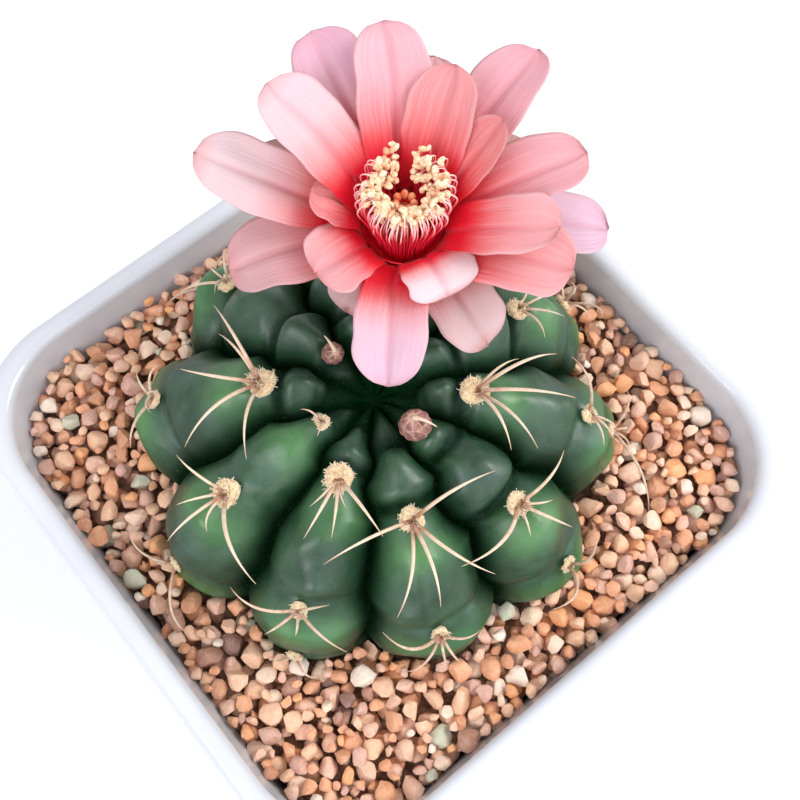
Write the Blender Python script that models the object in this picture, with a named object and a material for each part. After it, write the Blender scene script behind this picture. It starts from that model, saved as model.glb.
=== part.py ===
"""Potted round cactus in flower: a rounded square pot, soil, gravel, a ten-ribbed stem,
its areoles with their spines, two flower buds and one open flower.

Millimetres are used throughout and turned into metres when a mesh is written.
The origin is on the ground under the middle of the pot, +Z is up, and the pot's
sides run along X and Y.
"""
import bpy
import numpy as np

MM = 0.001
GAP = 0.35                      # clearance between pieces that touch

# ---- pot: a square with rounded corners, tapering to a foot ring ----
POT_HALF = 45.0                 # half of the outer width over the rim
POT_HEIGHT = 76.0
CORNER_SHARE = 0.36             # corner radius over half width
CORNER_STEPS = 6
FOOT_HALF = 33.0
FOOT_WIDTH = 2.6
FOOT_HEIGHT = 1.5
FLOOR_TOP = 4.0
RIM_WIDTH = 3.4
LIP_HEIGHT = 5.4                # height of the thick band that carries the rim
INNER_TOP = POT_HALF - RIM_WIDTH
INNER_BOTTOM = 31.0
DRAIN_RADIUS = 5.0

# ---- filling ----
GRAVEL_TOP = 70.0
GRAVEL_BOTTOM = 64.1
SOIL_TOP = 63.7
GRAVEL_CLEARANCE = 1.45         # from the stem's skin, which is faceted

# ---- stem: a flattened globe with a dimple at its tip ----
STEM_CENTRE = np.array([-0.3, 0.9])
STEM_RADIUS = 31.8
EQUATOR = 74.0
CROWN_RISE = 17.0
ROOT_DROP = 22.0
DIMPLE_DEPTH = 6.0
DIMPLE_RADIUS = 6.8
GROOVE_DEPTH = 6.0
LOW_SHALLOW = 0.4               # how much shallower the grooves are at the equator
CHIN = 1.3                      # how far a tubercle swells beyond its areole
CREASE = 0.8                    # cross crease just above an areole
RIB_FADE = (95.0, 115.0)        # polar angles over which the ribs die out in the gravel

# Each rib: its longitude and the polar angles of its areoles, in degrees.
RIBS = [
    (-6, (47, 78)), (29, (56, 84)), (64, (47, 80)), (98, (60, 88)), (137.5, (27, 66)),
    (176.5, (15, 44.5, 88)), (212, (24, 62, 93)), (246.5, (34.5, 71.5)),
    (282.5, (47.6, 81.5)), (318, (24.5, 61.7, 80)),
]

# Each areole: rib number, place on the rib, wool radius, and its spines as (bearing, length).
# Bearing 0 points away from the stem's tip, and 90 is counterclockwise from above.
AREOLES = [
    (0, 0, 1.7, [(34, 4), (-4, 5), (-47, 6), (-109, 7)]),
    (0, 1, 1.4, [(107, 4), (-176, 6), (-124, 8), (-71, 4)]),
    (1, 0, 1.6, [(-80, 8), (0, 7), (80, 8)]),
    (1, 1, 1.3, [(-90, 6), (90, 6)]),
    (2, 0, 1.6, [(-80, 7), (0, 6), (80, 8)]),
    (2, 1, 1.3, [(-90, 6), (90, 6)]),
    (3, 0, 1.6, [(150, 9), (-49, 5.7), (-7, 5), (60, 7)]),
    (3, 1, 1.3, [(-95, 6), (95, 7)]),
    (4, 0, 1.9, [(-58, 11), (-12, 9), (55, 12), (95, 12)]),
    (4, 1, 1.2, [(-61, 5), (-140, 6), (165, 5), (105, 9)]),
    (5, 0, 1.1, [(-50, 3), (40, 3)]),
    (5, 1, 1.8, [(-80, 7.5), (-25, 6), (8, 9), (84, 13)]),
    (5, 2, 1.0, [(-107, 7.5), (71, 9)]),
    (6, 0, 1.8, [(-60, 4), (-10, 9), (60, 10), (130, 4)]),
    (6, 1, 1.1, [(-106, 9), (133, 5.5), (-41, 5), (79, 8)]),
    (6, 2, 1.0, [(82, 4), (-82, 4)]),
    (7, 0, 1.6, [(107, 12), (-81, 12), (-26, 12), (2, 11), (42, 12)]),
    (7, 1, 1.1, [(-137, 11), (101, 5), (-67, 6), (10, 5)]),
    (8, 0, 1.55, [(97, 8.5), (-96, 11), (10, 7), (50, 4), (-37, 4)]),
    (8, 1, 1.1, [(165, 10), (54, 4), (-133, 12)]),
    (9, 0, 1.85, [(30, 11), (-7, 12), (-50, 11.5), (90, 4)]),
    (9, 1, 1.2, [(-17, 4), (-86, 5), (152, 10)]),
    (9, 2, 1.0, [(-75, 9), (20, 4), (90, 6)]),
]
WOOL_PROFILE = ((0.8, 0.3), (1.0, 0.6), (0.6, 1.2))   # (share of radius, height)
WOOL_SIDES = 8
SPINE_RADIUS = 0.27
SPINE_LIFT = 32.0               # degrees above the skin

# ---- flower ----
THROAT = np.array([13.4, 11.0, 104.0])
FLOWER_TILT = 13.0              # the stamens and pistil lean this many degrees
FLOWER_LEAN = 42.0              # towards this bearing
TUBE_RIB, TUBE_POLAR = 1, 18.0  # where the flower tube leaves the crown
TUBE_SIDES = 14
FUNNEL_WALL = 0.8
STAMEN_FOOT = 3.5               # depth under the rim where the stamens start to lean
TEPAL_THICKNESS = 0.4
TEPAL_STEPS, TEPAL_STRIPS = 7, 3
WHORL_DROP = (0.0, 1.4, 2.8)    # each outer whorl starts lower on the funnel

# Each tepal: whorl (0 inner), bearing, length, width, slope at its base and at its tip,
# all in millimetres and degrees.
TEPALS = [
    (1, 124, 22.0, 7.2, 16, 8), (0, 102, 18.5, 8.0, 42, 20), (1, 78, 22.0, 8.0, 38, 10),
    (0, 57, 19.5, 7.4, 43, 26), (1, 39, 17.0, 7.4, 36, 8), (0, 28, 15.2, 6.6, 48, 32),
    (0, -3, 12.5, 5.2, 42, 34), (1, 10, 22.5, 7.8, 32, 12), (2, -7, 14.5, 6.8, 26, 0),
    (1, -24, 19.0, 8.0, 28, 8), (2, -38, 21.0, 8.0, 8, -18), (0, -52, 14.5, 6.8, 28, 10),
    (1, -60, 16.5, 8.4, 14, 0), (0, -102, 6.2, 8.0, 16, -40), (2, -91, 13.0, 7.4, -12, -45),
    (1, -135, 15.5, 8.4, 2, -28), (0, 175, 7.5, 8.0, 14, -22), (1, 153, 17.0, 8.4, 0, -22),
    (0, 129, 6.8, 5.8, 32, 20), (2, 113, 17.0, 7.0, 14, -2), (2, -166, 7.5, 7.2, -14, -35),
]

# ---- buds: rib number, polar angle, degrees aside from the crest, radius, height ----
BUDS = [(3, 13.8, 0.0, 1.4, 3.4), (8, 16.0, -9.0, 2.0, 3.8)]


# ------------------------------------------------------------------ materials and meshes

def material(name, colour, roughness, metallic=0.0):
    made = bpy.data.materials.new(name)
    made.use_nodes = True
    shader = made.node_tree.nodes["Principled BSDF"]
    shader.inputs["Base Color"].default_value = (*colour, 1.0)
    shader.inputs["Roughness"].default_value = roughness
    shader.inputs["Metallic"].default_value = metallic
    made.diffuse_color = (*colour, 1.0)
    return made


def add_piece(name, points, faces, finish):
    """Make one object from points in millimetres and faces that look outward."""
    mesh = bpy.data.meshes.new(name)
    mesh.from_pydata((np.asarray(points, float) * MM).tolist(), [], [list(f) for f in faces])
    mesh.validate()
    mesh.materials.append(finish)
    piece = bpy.data.objects.new(name, mesh)
    bpy.context.scene.collection.objects.link(piece)
    mesh.shade_smooth()
    mesh.set_sharp_from_angle(angle=np.radians(50))
    return piece


def loft(rings, close_path=False):
    """Join equal rings, each counterclockwise from outside-above, into a closed skin.

    An open path is closed by a fan at each end, whose centre is the ring's mean point.
    """
    count = len(rings[0])
    points = [p for ring in rings for p in ring]
    spans = len(rings) if close_path else len(rings) - 1
    faces = []
    for i in range(spans):
        low, high = i * count, ((i + 1) % len(rings)) * count
        for j in range(count):
            k = (j + 1) % count
            faces.append((low + j, low + k, high + k, high + j))
    if not close_path:
        first, last = len(points), len(points) + 1
        points += [np.mean(rings[0], axis=0), np.mean(rings[-1], axis=0)]
        top = (len(rings) - 1) * count
        for j in range(count):
            k = (j + 1) % count
            faces.append((first, k, j))
            faces.append((last, top + j, top + k))
    return points, faces


def rounded_square(half, z, corner_share=CORNER_SHARE):
    """Ring of a square whose corners are quarter circles."""
    radius = half * corner_share
    ring = []
    for quarter in range(4):
        middle = np.radians(45 + 90 * quarter)
        centre = (half - radius) * np.sqrt(2) * np.array([np.cos(middle), np.sin(middle)])
        for turn in np.radians(np.linspace(-45, 45, CORNER_STEPS + 1)) + middle:
            ring.append([*(centre + radius * np.array([np.cos(turn), np.sin(turn)])), z])
    return ring


# ------------------------------------------------------------------ pot and filling

def inner_half(z):
    """Half width of the pot's inner wall at height z."""
    share = (z - FLOOR_TOP) / (POT_HEIGHT - 1.6 - FLOOR_TOP)
    return INNER_BOTTOM + (INNER_TOP - INNER_BOTTOM) * share


def build_pot(finish):
    lip_bottom = POT_HEIGHT - LIP_HEIGHT
    body_top = POT_HALF - 1.9
    profile = [
        (FOOT_HALF, 0.0), (body_top, lip_bottom - 0.6), (POT_HALF - 0.6, lip_bottom),
        (POT_HALF, lip_bottom + 1.2), (POT_HALF, POT_HEIGHT - 1.5),
        (POT_HALF - 0.7, POT_HEIGHT - 0.4), (POT_HALF - RIM_WIDTH / 2, POT_HEIGHT),
        (INNER_TOP + 0.7, POT_HEIGHT - 0.4), (INNER_TOP, POT_HEIGHT - 1.6),
        (INNER_BOTTOM, FLOOR_TOP),
    ]
    rings = [rounded_square(half, z) for half, z in profile]
    rings.append(rounded_square(DRAIN_RADIUS, FLOOR_TOP, 1.0))
    rings.append(rounded_square(DRAIN_RADIUS, FOOT_HEIGHT, 1.0))
    rings.append(rounded_square(FOOT_HALF - FOOT_WIDTH - 0.8, FOOT_HEIGHT))
    rings.append(rounded_square(FOOT_HALF - FOOT_WIDTH, 0.0))
    add_piece("pot", *loft(rings, close_path=True), finish)


def build_soil(finish):
    bottom = FLOOR_TOP + GAP
    rings = [rounded_square(inner_half(z) - GAP, z) for z in (bottom, SOIL_TOP)]
    start = np.arccos((SOIL_TOP - EQUATOR) / (ROOT_DROP + GAP))
    for polar in np.linspace(start, np.radians(168), 5):
        radius = (STEM_RADIUS + GAP) * np.sin(polar)
        z = EQUATOR + (ROOT_DROP + GAP) * np.cos(polar)
        ring = np.array(rounded_square(radius, z, 1.0))
        ring[:, :2] += STEM_CENTRE
        rings.append(ring.tolist())
    add_piece("potting_soil", *loft(rings), finish)


def rim_point(turn, half, z):
    """Point of the rounded square of the given half width, in direction turn."""
    radius = half * CORNER_SHARE
    way = np.array([np.cos(turn), np.sin(turn)])
    reach = half / np.max(np.abs(way))
    flat = half - radius
    if np.min(np.abs(way * reach)) > flat:
        centre = flat * np.sign(way)
        along = way @ centre
        reach = along + np.sqrt(along ** 2 - centre @ centre + radius ** 2)
    return np.array([*(way * reach), z])


def build_gravel(finish):
    turns = stem_longitudes()
    inner = {polar: stem_skin(turns, np.full(len(turns), polar), GRAVEL_CLEARANCE)
             for polar in np.radians((100.5, 108, 115.5))}
    outer_half = inner_half(GRAVEL_TOP) - GAP - 0.2
    outer_low_half = inner_half(GRAVEL_BOTTOM) - GAP
    top_in, middle_in, low_in = inner.values()
    bearings = np.arctan2(top_in[:, 1], top_in[:, 0])
    top_out = np.array([rim_point(b, outer_half, GRAVEL_TOP - 0.6) for b in bearings])
    low_out = np.array([rim_point(b, outer_low_half, GRAVEL_BOTTOM) for b in bearings])
    rings = [low_out, top_out]
    for share in (0.35, 0.7):
        ring = top_out + (top_in - top_out) * share
        ring[:, 2] = GRAVEL_TOP + 0.5 * np.sin(7 * turns + 9 * share)
        rings.append(ring)
    low_in[:, 2] = GRAVEL_BOTTOM
    rings += [top_in, middle_in, low_in]
    add_piece("gravel_bed", *loft([r.tolist() for r in rings], close_path=True), finish)


# ------------------------------------------------------------------ stem

def ease(x):
    x = np.clip(x, 0, 1)
    return x * x * (3 - 2 * x)


def stem_globe(lon, polar):
    """The smooth globe through the areoles, with the dimple at its tip."""
    radius = STEM_RADIUS * np.sin(polar)
    rise = np.where(polar < np.pi / 2, CROWN_RISE, ROOT_DROP) * np.cos(polar)
    z = EQUATOR + rise - DIMPLE_DEPTH * np.exp(-(radius / DIMPLE_RADIUS) ** 2) * (np.cos(polar) > 0)
    return np.stack([STEM_CENTRE[0] + radius * np.cos(lon),
                     STEM_CENTRE[1] + radius * np.sin(lon), z], axis=-1)


def globe_frame(lon, polar):
    """Point of the globe with its downhill, counterclockwise and outward directions."""
    step = 1e-3
    point = stem_globe(lon, polar)
    down = stem_globe(lon, polar + step) - stem_globe(lon, polar - step)
    down /= np.linalg.norm(down, axis=-1, keepdims=True)
    around = np.stack([-np.sin(lon), np.cos(lon), np.zeros_like(lon)], axis=-1)
    return point, down, around, np.cross(down, around)


def rib_limits():
    """Each rib's left edge, crest and right edge, in radians, running on past a full turn."""
    crests = np.radians([rib[0] for rib in RIBS])
    before = np.append(crests[-1] - 2 * np.pi, crests[:-1])
    after = np.append(crests[1:], crests[0] + 2 * np.pi)
    return (before + crests) / 2, crests, (crests + after) / 2


def stem_skin(lon, polar, out=0.0):
    """Skin point: the globe pushed in at the grooves and out at each tubercle's chin.

    Across a rib the skin follows a flattened circle. Along a rib it swells just below
    each areole, sinks slowly to the next one and is creased just above it.
    """
    left, crests, right = rib_limits()
    turn = (lon - left[0]) % (2 * np.pi) + left[0]
    push = np.zeros_like(turn)
    fade = 1 - ease((np.degrees(polar) - RIB_FADE[0]) / (RIB_FADE[1] - RIB_FADE[0]))
    shallow = 1 - LOW_SHALLOW * ease((np.degrees(polar) - 45) / 45)
    depth = GROOVE_DEPTH * np.sin(polar) ** 0.8 * shallow * fade
    for i, (_, areoles) in enumerate(RIBS):
        on_rib = (turn >= left[i]) & (turn < right[i])
        half = np.where(turn < crests[i], crests[i] - left[i], right[i] - crests[i])
        across = np.abs(turn - crests[i]) / half
        swell, crease, narrow = tubercle_profile(np.degrees(polar), areoles)
        crest = np.sqrt(1 - np.clip(across / narrow, 0, 1) ** 2.4)
        value = -depth * (1 - crest) + fade * (CHIN * swell * crest - CREASE * crease)
        push = np.where(on_rib, value, push)
    point, _, _, normal = globe_frame(turn, polar)
    return point + normal * (push + out)[..., None]


def tubercle_profile(polar, areoles):
    """Swelling, crease and width of a rib at polar angles, all from 0 to 1."""
    stops = [0.0, *areoles, areoles[-1] + 34.0]
    swell = np.zeros_like(polar)
    crease = np.zeros_like(polar)
    for start, end in zip(stops[:-1], stops[1:]):
        share = np.clip((polar - start) / (end - start), 0, 1)
        inside = (polar >= start) & (polar < end)
        swell = np.where(inside, np.sin(np.pi * share ** 0.6), swell)
    for place in areoles:
        crease += np.exp(-((polar - place + 4.0) / 2.2) ** 2)
    return swell, crease, 0.8 + 0.2 * swell


def stem_longitudes():
    """Six longitudes for each rib: its groove, its crest and two places on each flank."""
    left, crests, right = rib_limits()
    turns = []
    for a, b, c in zip(left, crests, right):
        turns += [a, b - 0.66 * (b - a), b - 0.33 * (b - a), b,
                  b + 0.33 * (c - b), b + 0.66 * (c - b)]
    return np.array(turns)


def build_stem(finish):
    turns = stem_longitudes()
    rings = [stem_skin(turns, np.full(len(turns), polar)).tolist()
             for polar in np.radians(np.linspace(160, 5, 24))]
    add_piece("cactus_stem", *loft(rings), finish)


# ------------------------------------------------------------------ areoles with spines

def seat(rib, polar, aside=0.0):
    """Skin point at a rib's crest or aside from it by some degrees of longitude, with its
    downhill, counterclockwise and outward ways."""
    lon = np.array([np.radians(RIBS[rib][0] + aside)])
    angle = np.array([np.radians(polar)])
    _, down, around, normal = globe_frame(lon, angle)
    return stem_skin(lon, angle)[0], down[0], around[0], normal[0]


def skin_ring(rib, polar, radius, out):
    """Ring of points round an areole, all at the same height over the skin."""
    turns = np.linspace(0, 2 * np.pi, WOOL_SIDES, endpoint=False) - np.pi / WOOL_SIDES
    angle = np.radians(polar)
    downhill = np.hypot(STEM_RADIUS * np.cos(angle), CROWN_RISE * np.sin(angle))
    lon = np.radians(RIBS[rib][0]) + radius * np.sin(turns) / (STEM_RADIUS * np.sin(angle))
    return stem_skin(lon, angle + radius * np.cos(turns) / downhill, out).tolist()


def build_areole(name, rib, place, radius, spines, finish):
    """A wool cushion whose side facets run out into four-sided spines."""
    polar = RIBS[rib][1][place]
    _, down, around, normal = seat(rib, polar)
    points, faces = loft([skin_ring(rib, polar, radius * share, GAP + height)
                          for share, height in WOOL_PROFILE])
    taken = set()
    for bearing, length in spines:
        way = np.cos(np.radians(bearing)) * down + np.sin(np.radians(bearing)) * around
        nearest = round(bearing * WOOL_SIDES / 360)
        side = next((nearest + s) % WOOL_SIDES for s in (0, 1, -1, 2, -2)
                    if (nearest + s) % WOOL_SIDES not in taken)
        taken.add(side)
        lower, upper = WOOL_SIDES + side, 2 * WOOL_SIDES + side
        next_lower = WOOL_SIDES + (side + 1) % WOOL_SIDES
        next_upper = 2 * WOOL_SIDES + (side + 1) % WOOL_SIDES
        root = [lower, next_lower, next_upper, upper]
        faces.remove(tuple(root))
        centre = np.mean([points[i] for i in root], axis=0)
        lift = np.radians(SPINE_LIFT)
        aim = np.cos(lift) * way + np.sin(lift) * normal
        level = np.cross(normal, way)
        upright = np.cross(aim, level)
        ring = root
        for share, thickness in ((0.15, 1.0), (0.6, 0.75)):
            start = len(points)
            for across, up in ((-1, -1), (1, -1), (1, 1), (-1, 1)):
                points.append(centre + aim * length * share
                              + SPINE_RADIUS * thickness * (across * level + up * upright))
            new = [start, start + 1, start + 2, start + 3]
            faces += [(ring[i], ring[(i + 1) % 4], new[(i + 1) % 4], new[i]) for i in range(4)]
            ring = new
        tip = len(points)
        points.append(centre + aim * length - normal * 0.06 * length)
        faces += [(ring[i], ring[(i + 1) % 4], tip) for i in range(4)]
    add_piece(name, points, faces, finish)


# ------------------------------------------------------------------ buds and flower

def turned(centre, axis, profile, sides):
    """Rings of a turned shape: profile rows are (radius, height along the axis)."""
    axis = np.asarray(axis, float) / np.linalg.norm(axis)
    across = np.cross([0.0, 1.0, 0.0], axis)
    across /= np.linalg.norm(across)
    other = np.cross(axis, across)
    turns = np.linspace(0, 2 * np.pi, sides, endpoint=False)
    return [[centre + axis * height + radius * (np.cos(t) * across + np.sin(t) * other)
             for t in turns] for radius, height in profile]


def build_bud(name, rib, polar, aside, radius, height, finish):
    point, _, _, normal = seat(rib, polar, aside)
    profile = [(0.55 * radius, 0.0), (0.95 * radius, 0.22 * height), (radius, 0.48 * height),
               (0.75 * radius, 0.75 * height), (0.2 * radius, height)]
    rings = turned(point + normal * (GAP + 0.15), normal, profile, 8)
    add_piece(name, *loft(rings), finish)


def funnel_radius(z):
    """Outer radius of the flower's funnel at height z under its rim."""
    return 2.5 + 2.9 * ease((z + 9.0) / 8.6) ** 0.9


def build_tube(finish):
    """The scaly tube: it leaves the crown along the skin's normal and opens into a funnel."""
    point, _, _, normal = seat(TUBE_RIB, TUBE_POLAR)
    foot = point + normal * (GAP + 0.15)
    end = THROAT + np.array([0.0, 0.0, -9.0])
    rings = []
    for share, radius in ((0.0, 1.8), (0.3, 2.5), (0.7, 2.6)):
        middle = foot + (end - foot) * share + normal * 0.9 * np.sin(np.pi * share)
        axis = normal * (1 - share) + np.array([0.0, 0.0, 1.0]) * share
        rings += turned(middle, axis, [(radius, 0.0)], TUBE_SIDES)
    up = [0.0, 0.0, 1.0]
    outer = [(funnel_radius(z), z) for z in (-9.0, -6.5, -4.2, -2.2, -0.4)]
    inner = [(funnel_radius(z) - FUNNEL_WALL, z) for z in (-0.4, -2.4, -4.6, -7.0)]
    rings += turned(THROAT, up, outer + inner, TUBE_SIDES)
    add_piece("flower_tube", *loft(rings), finish)


def flower_axis():
    """The leaning line that the stamens and pistil follow: its foot and its direction."""
    tilt, lean = np.radians(FLOWER_TILT), np.radians(FLOWER_LEAN)
    way = [np.sin(tilt) * np.cos(lean), np.sin(tilt) * np.sin(lean), np.cos(tilt)]
    return THROAT - [0.0, 0.0, STAMEN_FOOT], np.array(way)


def build_stamens(finish):
    """The crown of stamens as one ring, wider at the anthers than at its foot."""
    profile = [(2.6, -0.6), (2.9, 1.3), (3.4, 3.3), (4.8, 7.0), (4.4, 8.4), (3.3, 7.6),
               (2.7, 4.1), (2.2, 1.0)]
    rings = turned(*flower_axis(), profile, TUBE_SIDES)
    add_piece("stamen_ring", *loft(rings, close_path=True), finish)


def build_pistil(finish):
    profile = [(1.0, -2.9), (0.7, -1.5), (0.7, 4.4), (1.7, 5.2), (1.5, 6.2), (0.5, 6.5)]
    add_piece("pistil", *loft(turned(*flower_axis(), profile, 10)), finish)


def tepal_width(share):
    """Width of a tepal along its length: narrow foot, broad body, blunt end."""
    foot = 0.36 + 0.64 * ease(share / 0.7)
    end = np.sqrt(1 - 0.97 * np.clip((share - 0.62) / 0.38, 0, 1) ** 2.4)
    return foot * end


def build_tepal(name, whorl, bearing, length, width, slope, end_slope, finish):
    """A thin bent leaf whose midline turns evenly from its first slope to its last."""
    share = np.linspace(0, 1, TEPAL_STEPS + 1)
    angle = np.radians(slope + (end_slope - slope) * share ** 1.5)
    step = length / TEPAL_STEPS
    along = np.cumsum(np.append(0, np.cos(angle[1:] / 2 + angle[:-1] / 2))) * step
    climb = np.cumsum(np.append(0, np.sin(angle[1:] / 2 + angle[:-1] / 2))) * step
    start = -0.2 - WHORL_DROP[whorl]
    away = np.array([np.cos(np.radians(bearing)), np.sin(np.radians(bearing)), 0.0])
    side = np.array([-away[1], away[0], 0.0])
    up = np.array([0.0, 0.0, 1.0])
    offset = funnel_radius(start) + GAP + 0.1
    midline = THROAT + (offset + along)[:, None] * away + (start + climb)[:, None] * up
    normal = -np.sin(angle)[:, None] * away + np.cos(angle)[:, None] * up
    half = width / 2 * tepal_width(share)
    across = np.linspace(-1, 1, TEPAL_STRIPS + 1)
    cup = 0.16 * half[:, None] * across ** 2
    top = (midline[:, None] + (half[:, None] * across)[..., None] * side
           + cup[..., None] * normal[:, None])
    under = top - TEPAL_THICKNESS * normal[:, None]
    strips = TEPAL_STRIPS + 1
    total = (TEPAL_STEPS + 1) * strips
    points = np.concatenate([top.reshape(-1, 3), under.reshape(-1, 3)])
    faces = []
    for i in range(TEPAL_STEPS):
        for j in range(TEPAL_STRIPS):
            a, b = i * strips + j, (i + 1) * strips + j
            faces.append((a, b, b + 1, a + 1))
            faces.append((total + a, total + a + 1, total + b + 1, total + b))
        a, b = i * strips, (i + 1) * strips
        faces.append((a, total + a, total + b, b))
        a, b = a + TEPAL_STRIPS, b + TEPAL_STRIPS
        faces.append((a, b, total + b, total + a))
    last = TEPAL_STEPS * strips
    for j in range(TEPAL_STRIPS):
        faces.append((j, j + 1, total + j + 1, total + j))
        faces.append((last + j, total + last + j, total + last + j + 1, last + j + 1))
    add_piece(name, points, faces, finish)


# ------------------------------------------------------------------ assembly

for old in list(bpy.data.objects):
    bpy.data.objects.remove(old)

POT_WHITE = material("pot_glaze", (0.88, 0.88, 0.9), 0.18)
SOIL_BROWN = material("soil", (0.07, 0.045, 0.03), 0.95)
GRAVEL_TAN = material("gravel", (0.62, 0.4, 0.27), 0.75)
STEM_GREEN = material("stem_skin", (0.07, 0.16, 0.09), 0.5)
WOOL_CREAM = material("wool_and_spines", (0.78, 0.66, 0.5), 0.8)
BUD_MAUVE = material("bud_scales", (0.45, 0.25, 0.24), 0.7)
TUBE_GREEN = material("flower_tube_skin", (0.42, 0.36, 0.26), 0.55)
TEPAL_PINK = material("tepal", (0.95, 0.45, 0.47), 0.5)
STAMEN_CREAM = material("stamens", (0.98, 0.82, 0.55), 0.7)
PISTIL_ORANGE = material("pistil", (0.95, 0.42, 0.22), 0.6)

build_pot(POT_WHITE)
build_soil(SOIL_BROWN)
build_gravel(GRAVEL_TAN)
build_stem(STEM_GREEN)
for number, (rib, place, radius, spines) in enumerate(AREOLES, start=1):
    build_areole(f"areole_{number:02d}", rib, place, radius, spines, WOOL_CREAM)
for number, bud in enumerate(BUDS, start=1):
    build_bud(f"bud_{number}", *bud, BUD_MAUVE)
build_tube(TUBE_GREEN)
build_stamens(STAMEN_CREAM)
build_pistil(PISTIL_ORANGE)
for number, tepal in enumerate(TEPALS, start=1):
    build_tepal(f"tepal_{number:02d}", *tepal, TEPAL_PINK)
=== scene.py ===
"""Looks of the potted round cactus: glazed pot, loose grit, ribbed stem, spines and flower.

Lengths are in millimetres and become metres when a mesh is made. The frame is the
CAD model's: origin on the ground under the middle of the pot, +Z up, pot sides along X and Y.
"""

import bpy
import numpy as np
from mathutils import Matrix, Vector


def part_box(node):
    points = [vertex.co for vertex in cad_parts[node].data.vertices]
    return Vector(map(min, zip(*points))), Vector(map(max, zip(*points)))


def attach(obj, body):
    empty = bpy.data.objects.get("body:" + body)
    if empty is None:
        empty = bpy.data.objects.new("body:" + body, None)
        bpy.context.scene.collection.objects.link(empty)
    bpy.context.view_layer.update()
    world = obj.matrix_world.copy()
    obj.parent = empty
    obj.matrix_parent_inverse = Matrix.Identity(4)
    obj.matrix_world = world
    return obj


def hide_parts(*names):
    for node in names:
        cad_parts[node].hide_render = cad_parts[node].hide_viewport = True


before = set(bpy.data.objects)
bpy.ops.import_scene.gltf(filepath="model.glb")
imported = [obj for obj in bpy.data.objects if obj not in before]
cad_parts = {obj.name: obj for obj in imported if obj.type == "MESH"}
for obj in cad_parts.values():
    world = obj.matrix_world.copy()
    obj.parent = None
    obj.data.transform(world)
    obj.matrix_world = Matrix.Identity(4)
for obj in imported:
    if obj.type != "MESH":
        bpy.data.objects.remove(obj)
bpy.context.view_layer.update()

MM = 0.001
UP = np.array([0.0, 0.0, 1.0])
random = np.random.default_rng(11)

# ---- camera and light ----
CAMERA_TURN, CAMERA_RISE, CAMERA_ROLL = -38.4, 68.0, -1.2       # degrees
CAMERA_AIM = (4.8, 1.6)         # the camera looks at this place at the height of the rim
CAMERA_DISTANCE = 164.0
LENS, SENSOR = 52.0, 36.0
LIGHT_AIM = (0.0, 0.0, 0.08)
# Each light: name, place in metres, size in metres, power in watts and colour.
LIGHTS = [
    ("key", (0.34, -0.16, 0.42), 0.30, 1.5, (1.0, 0.98, 0.95)),
    ("window", (0.38, -0.32, 0.36), 0.40, 0.7, (0.86, 0.94, 1.0)),
    ("fill", (-0.45, -0.10, 0.45), 0.40, 1.85, (0.95, 0.97, 1.0)),
    ("front", (-0.05, -0.50, 0.40), 0.40, 0.55, (1.0, 0.98, 0.97)),
]
SKY_COLOUR, SKY_STRENGTH = (0.95, 0.97, 1.0, 1.0), 0.80
WHITE = (1.0, 1.0, 1.0, 1.0)
FLOOR_EDGE = 1.5                # metres from the middle to the floor's edge
GLOW_START, GLOW_END, GLOW = 0.30, 0.9, 0.34   # far floor glows a little, so it stays white

# ---- pot ----
POT_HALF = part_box("pot")[1][0] / MM
POT_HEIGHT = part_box("pot")[1][2] / MM
CORNER_SHARE = 0.36
CORNER_STEPS = 28
FOOT_HALF, FOOT_WIDTH, FOOT_HEIGHT = 33.0, 2.6, 1.5
FLOOR_TOP = 4.0
RIM_WIDTH = 3.4
LIP_HEIGHT = 5.4
INNER_TOP = POT_HALF - RIM_WIDTH
INNER_BOTTOM = 31.0
DRAIN_RADIUS = 5.0

# ---- stem ----
STEM_CENTRE = np.array([-0.3, 0.9])
STEM_RADIUS = 31.8
EQUATOR = 74.0
CROWN_RISE = 17.0
ROOT_DROP = 22.0
DIMPLE_DEPTH = 6.0
DIMPLE_RADIUS = 6.8
GROOVE_DEPTH = 7.4
CHIN = 1.5
CHIN_RIDGE = 0.8                # the blunt edge across a lower tubercle's chin
CREASE = 2.6                    # depth of the cross crease just above an areole
CREASE_SHIFT = 3.6
CREASE_WIDTH = 2.3
LOW_SHALLOW = 0.45              # how much shallower the grooves are at the equator
OLD_CREASE = 0.22               # share of the crease's depth above the lower areoles
YOUNG_NECK, OLD_NECK = 0.25, 0.72
WANDER = 0.15                   # how far a groove swings towards its narrower neighbour
RIB_FADE = (95.0, 115.0)
STEM_TURNS = 480
STEM_RINGS = 200
STEM_START, STEM_SPAN = 2, 158  # polar angles of the grid's first ring and its length

# Each rib: its longitude and the polar angles of its areoles, in degrees.
RIBS = [
    (-6, (47, 78)), (29, (56, 84)), (64, (47, 80)), (98, (60, 88)), (137.5, (27, 66)),
    (176.5, (15, 44.5, 88)), (212, (24, 62, 93)), (246.5, (34.5, 71.5)),
    (282.5, (47.6, 81.5)), (318, (24.5, 61.7, 80)),
]

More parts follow.
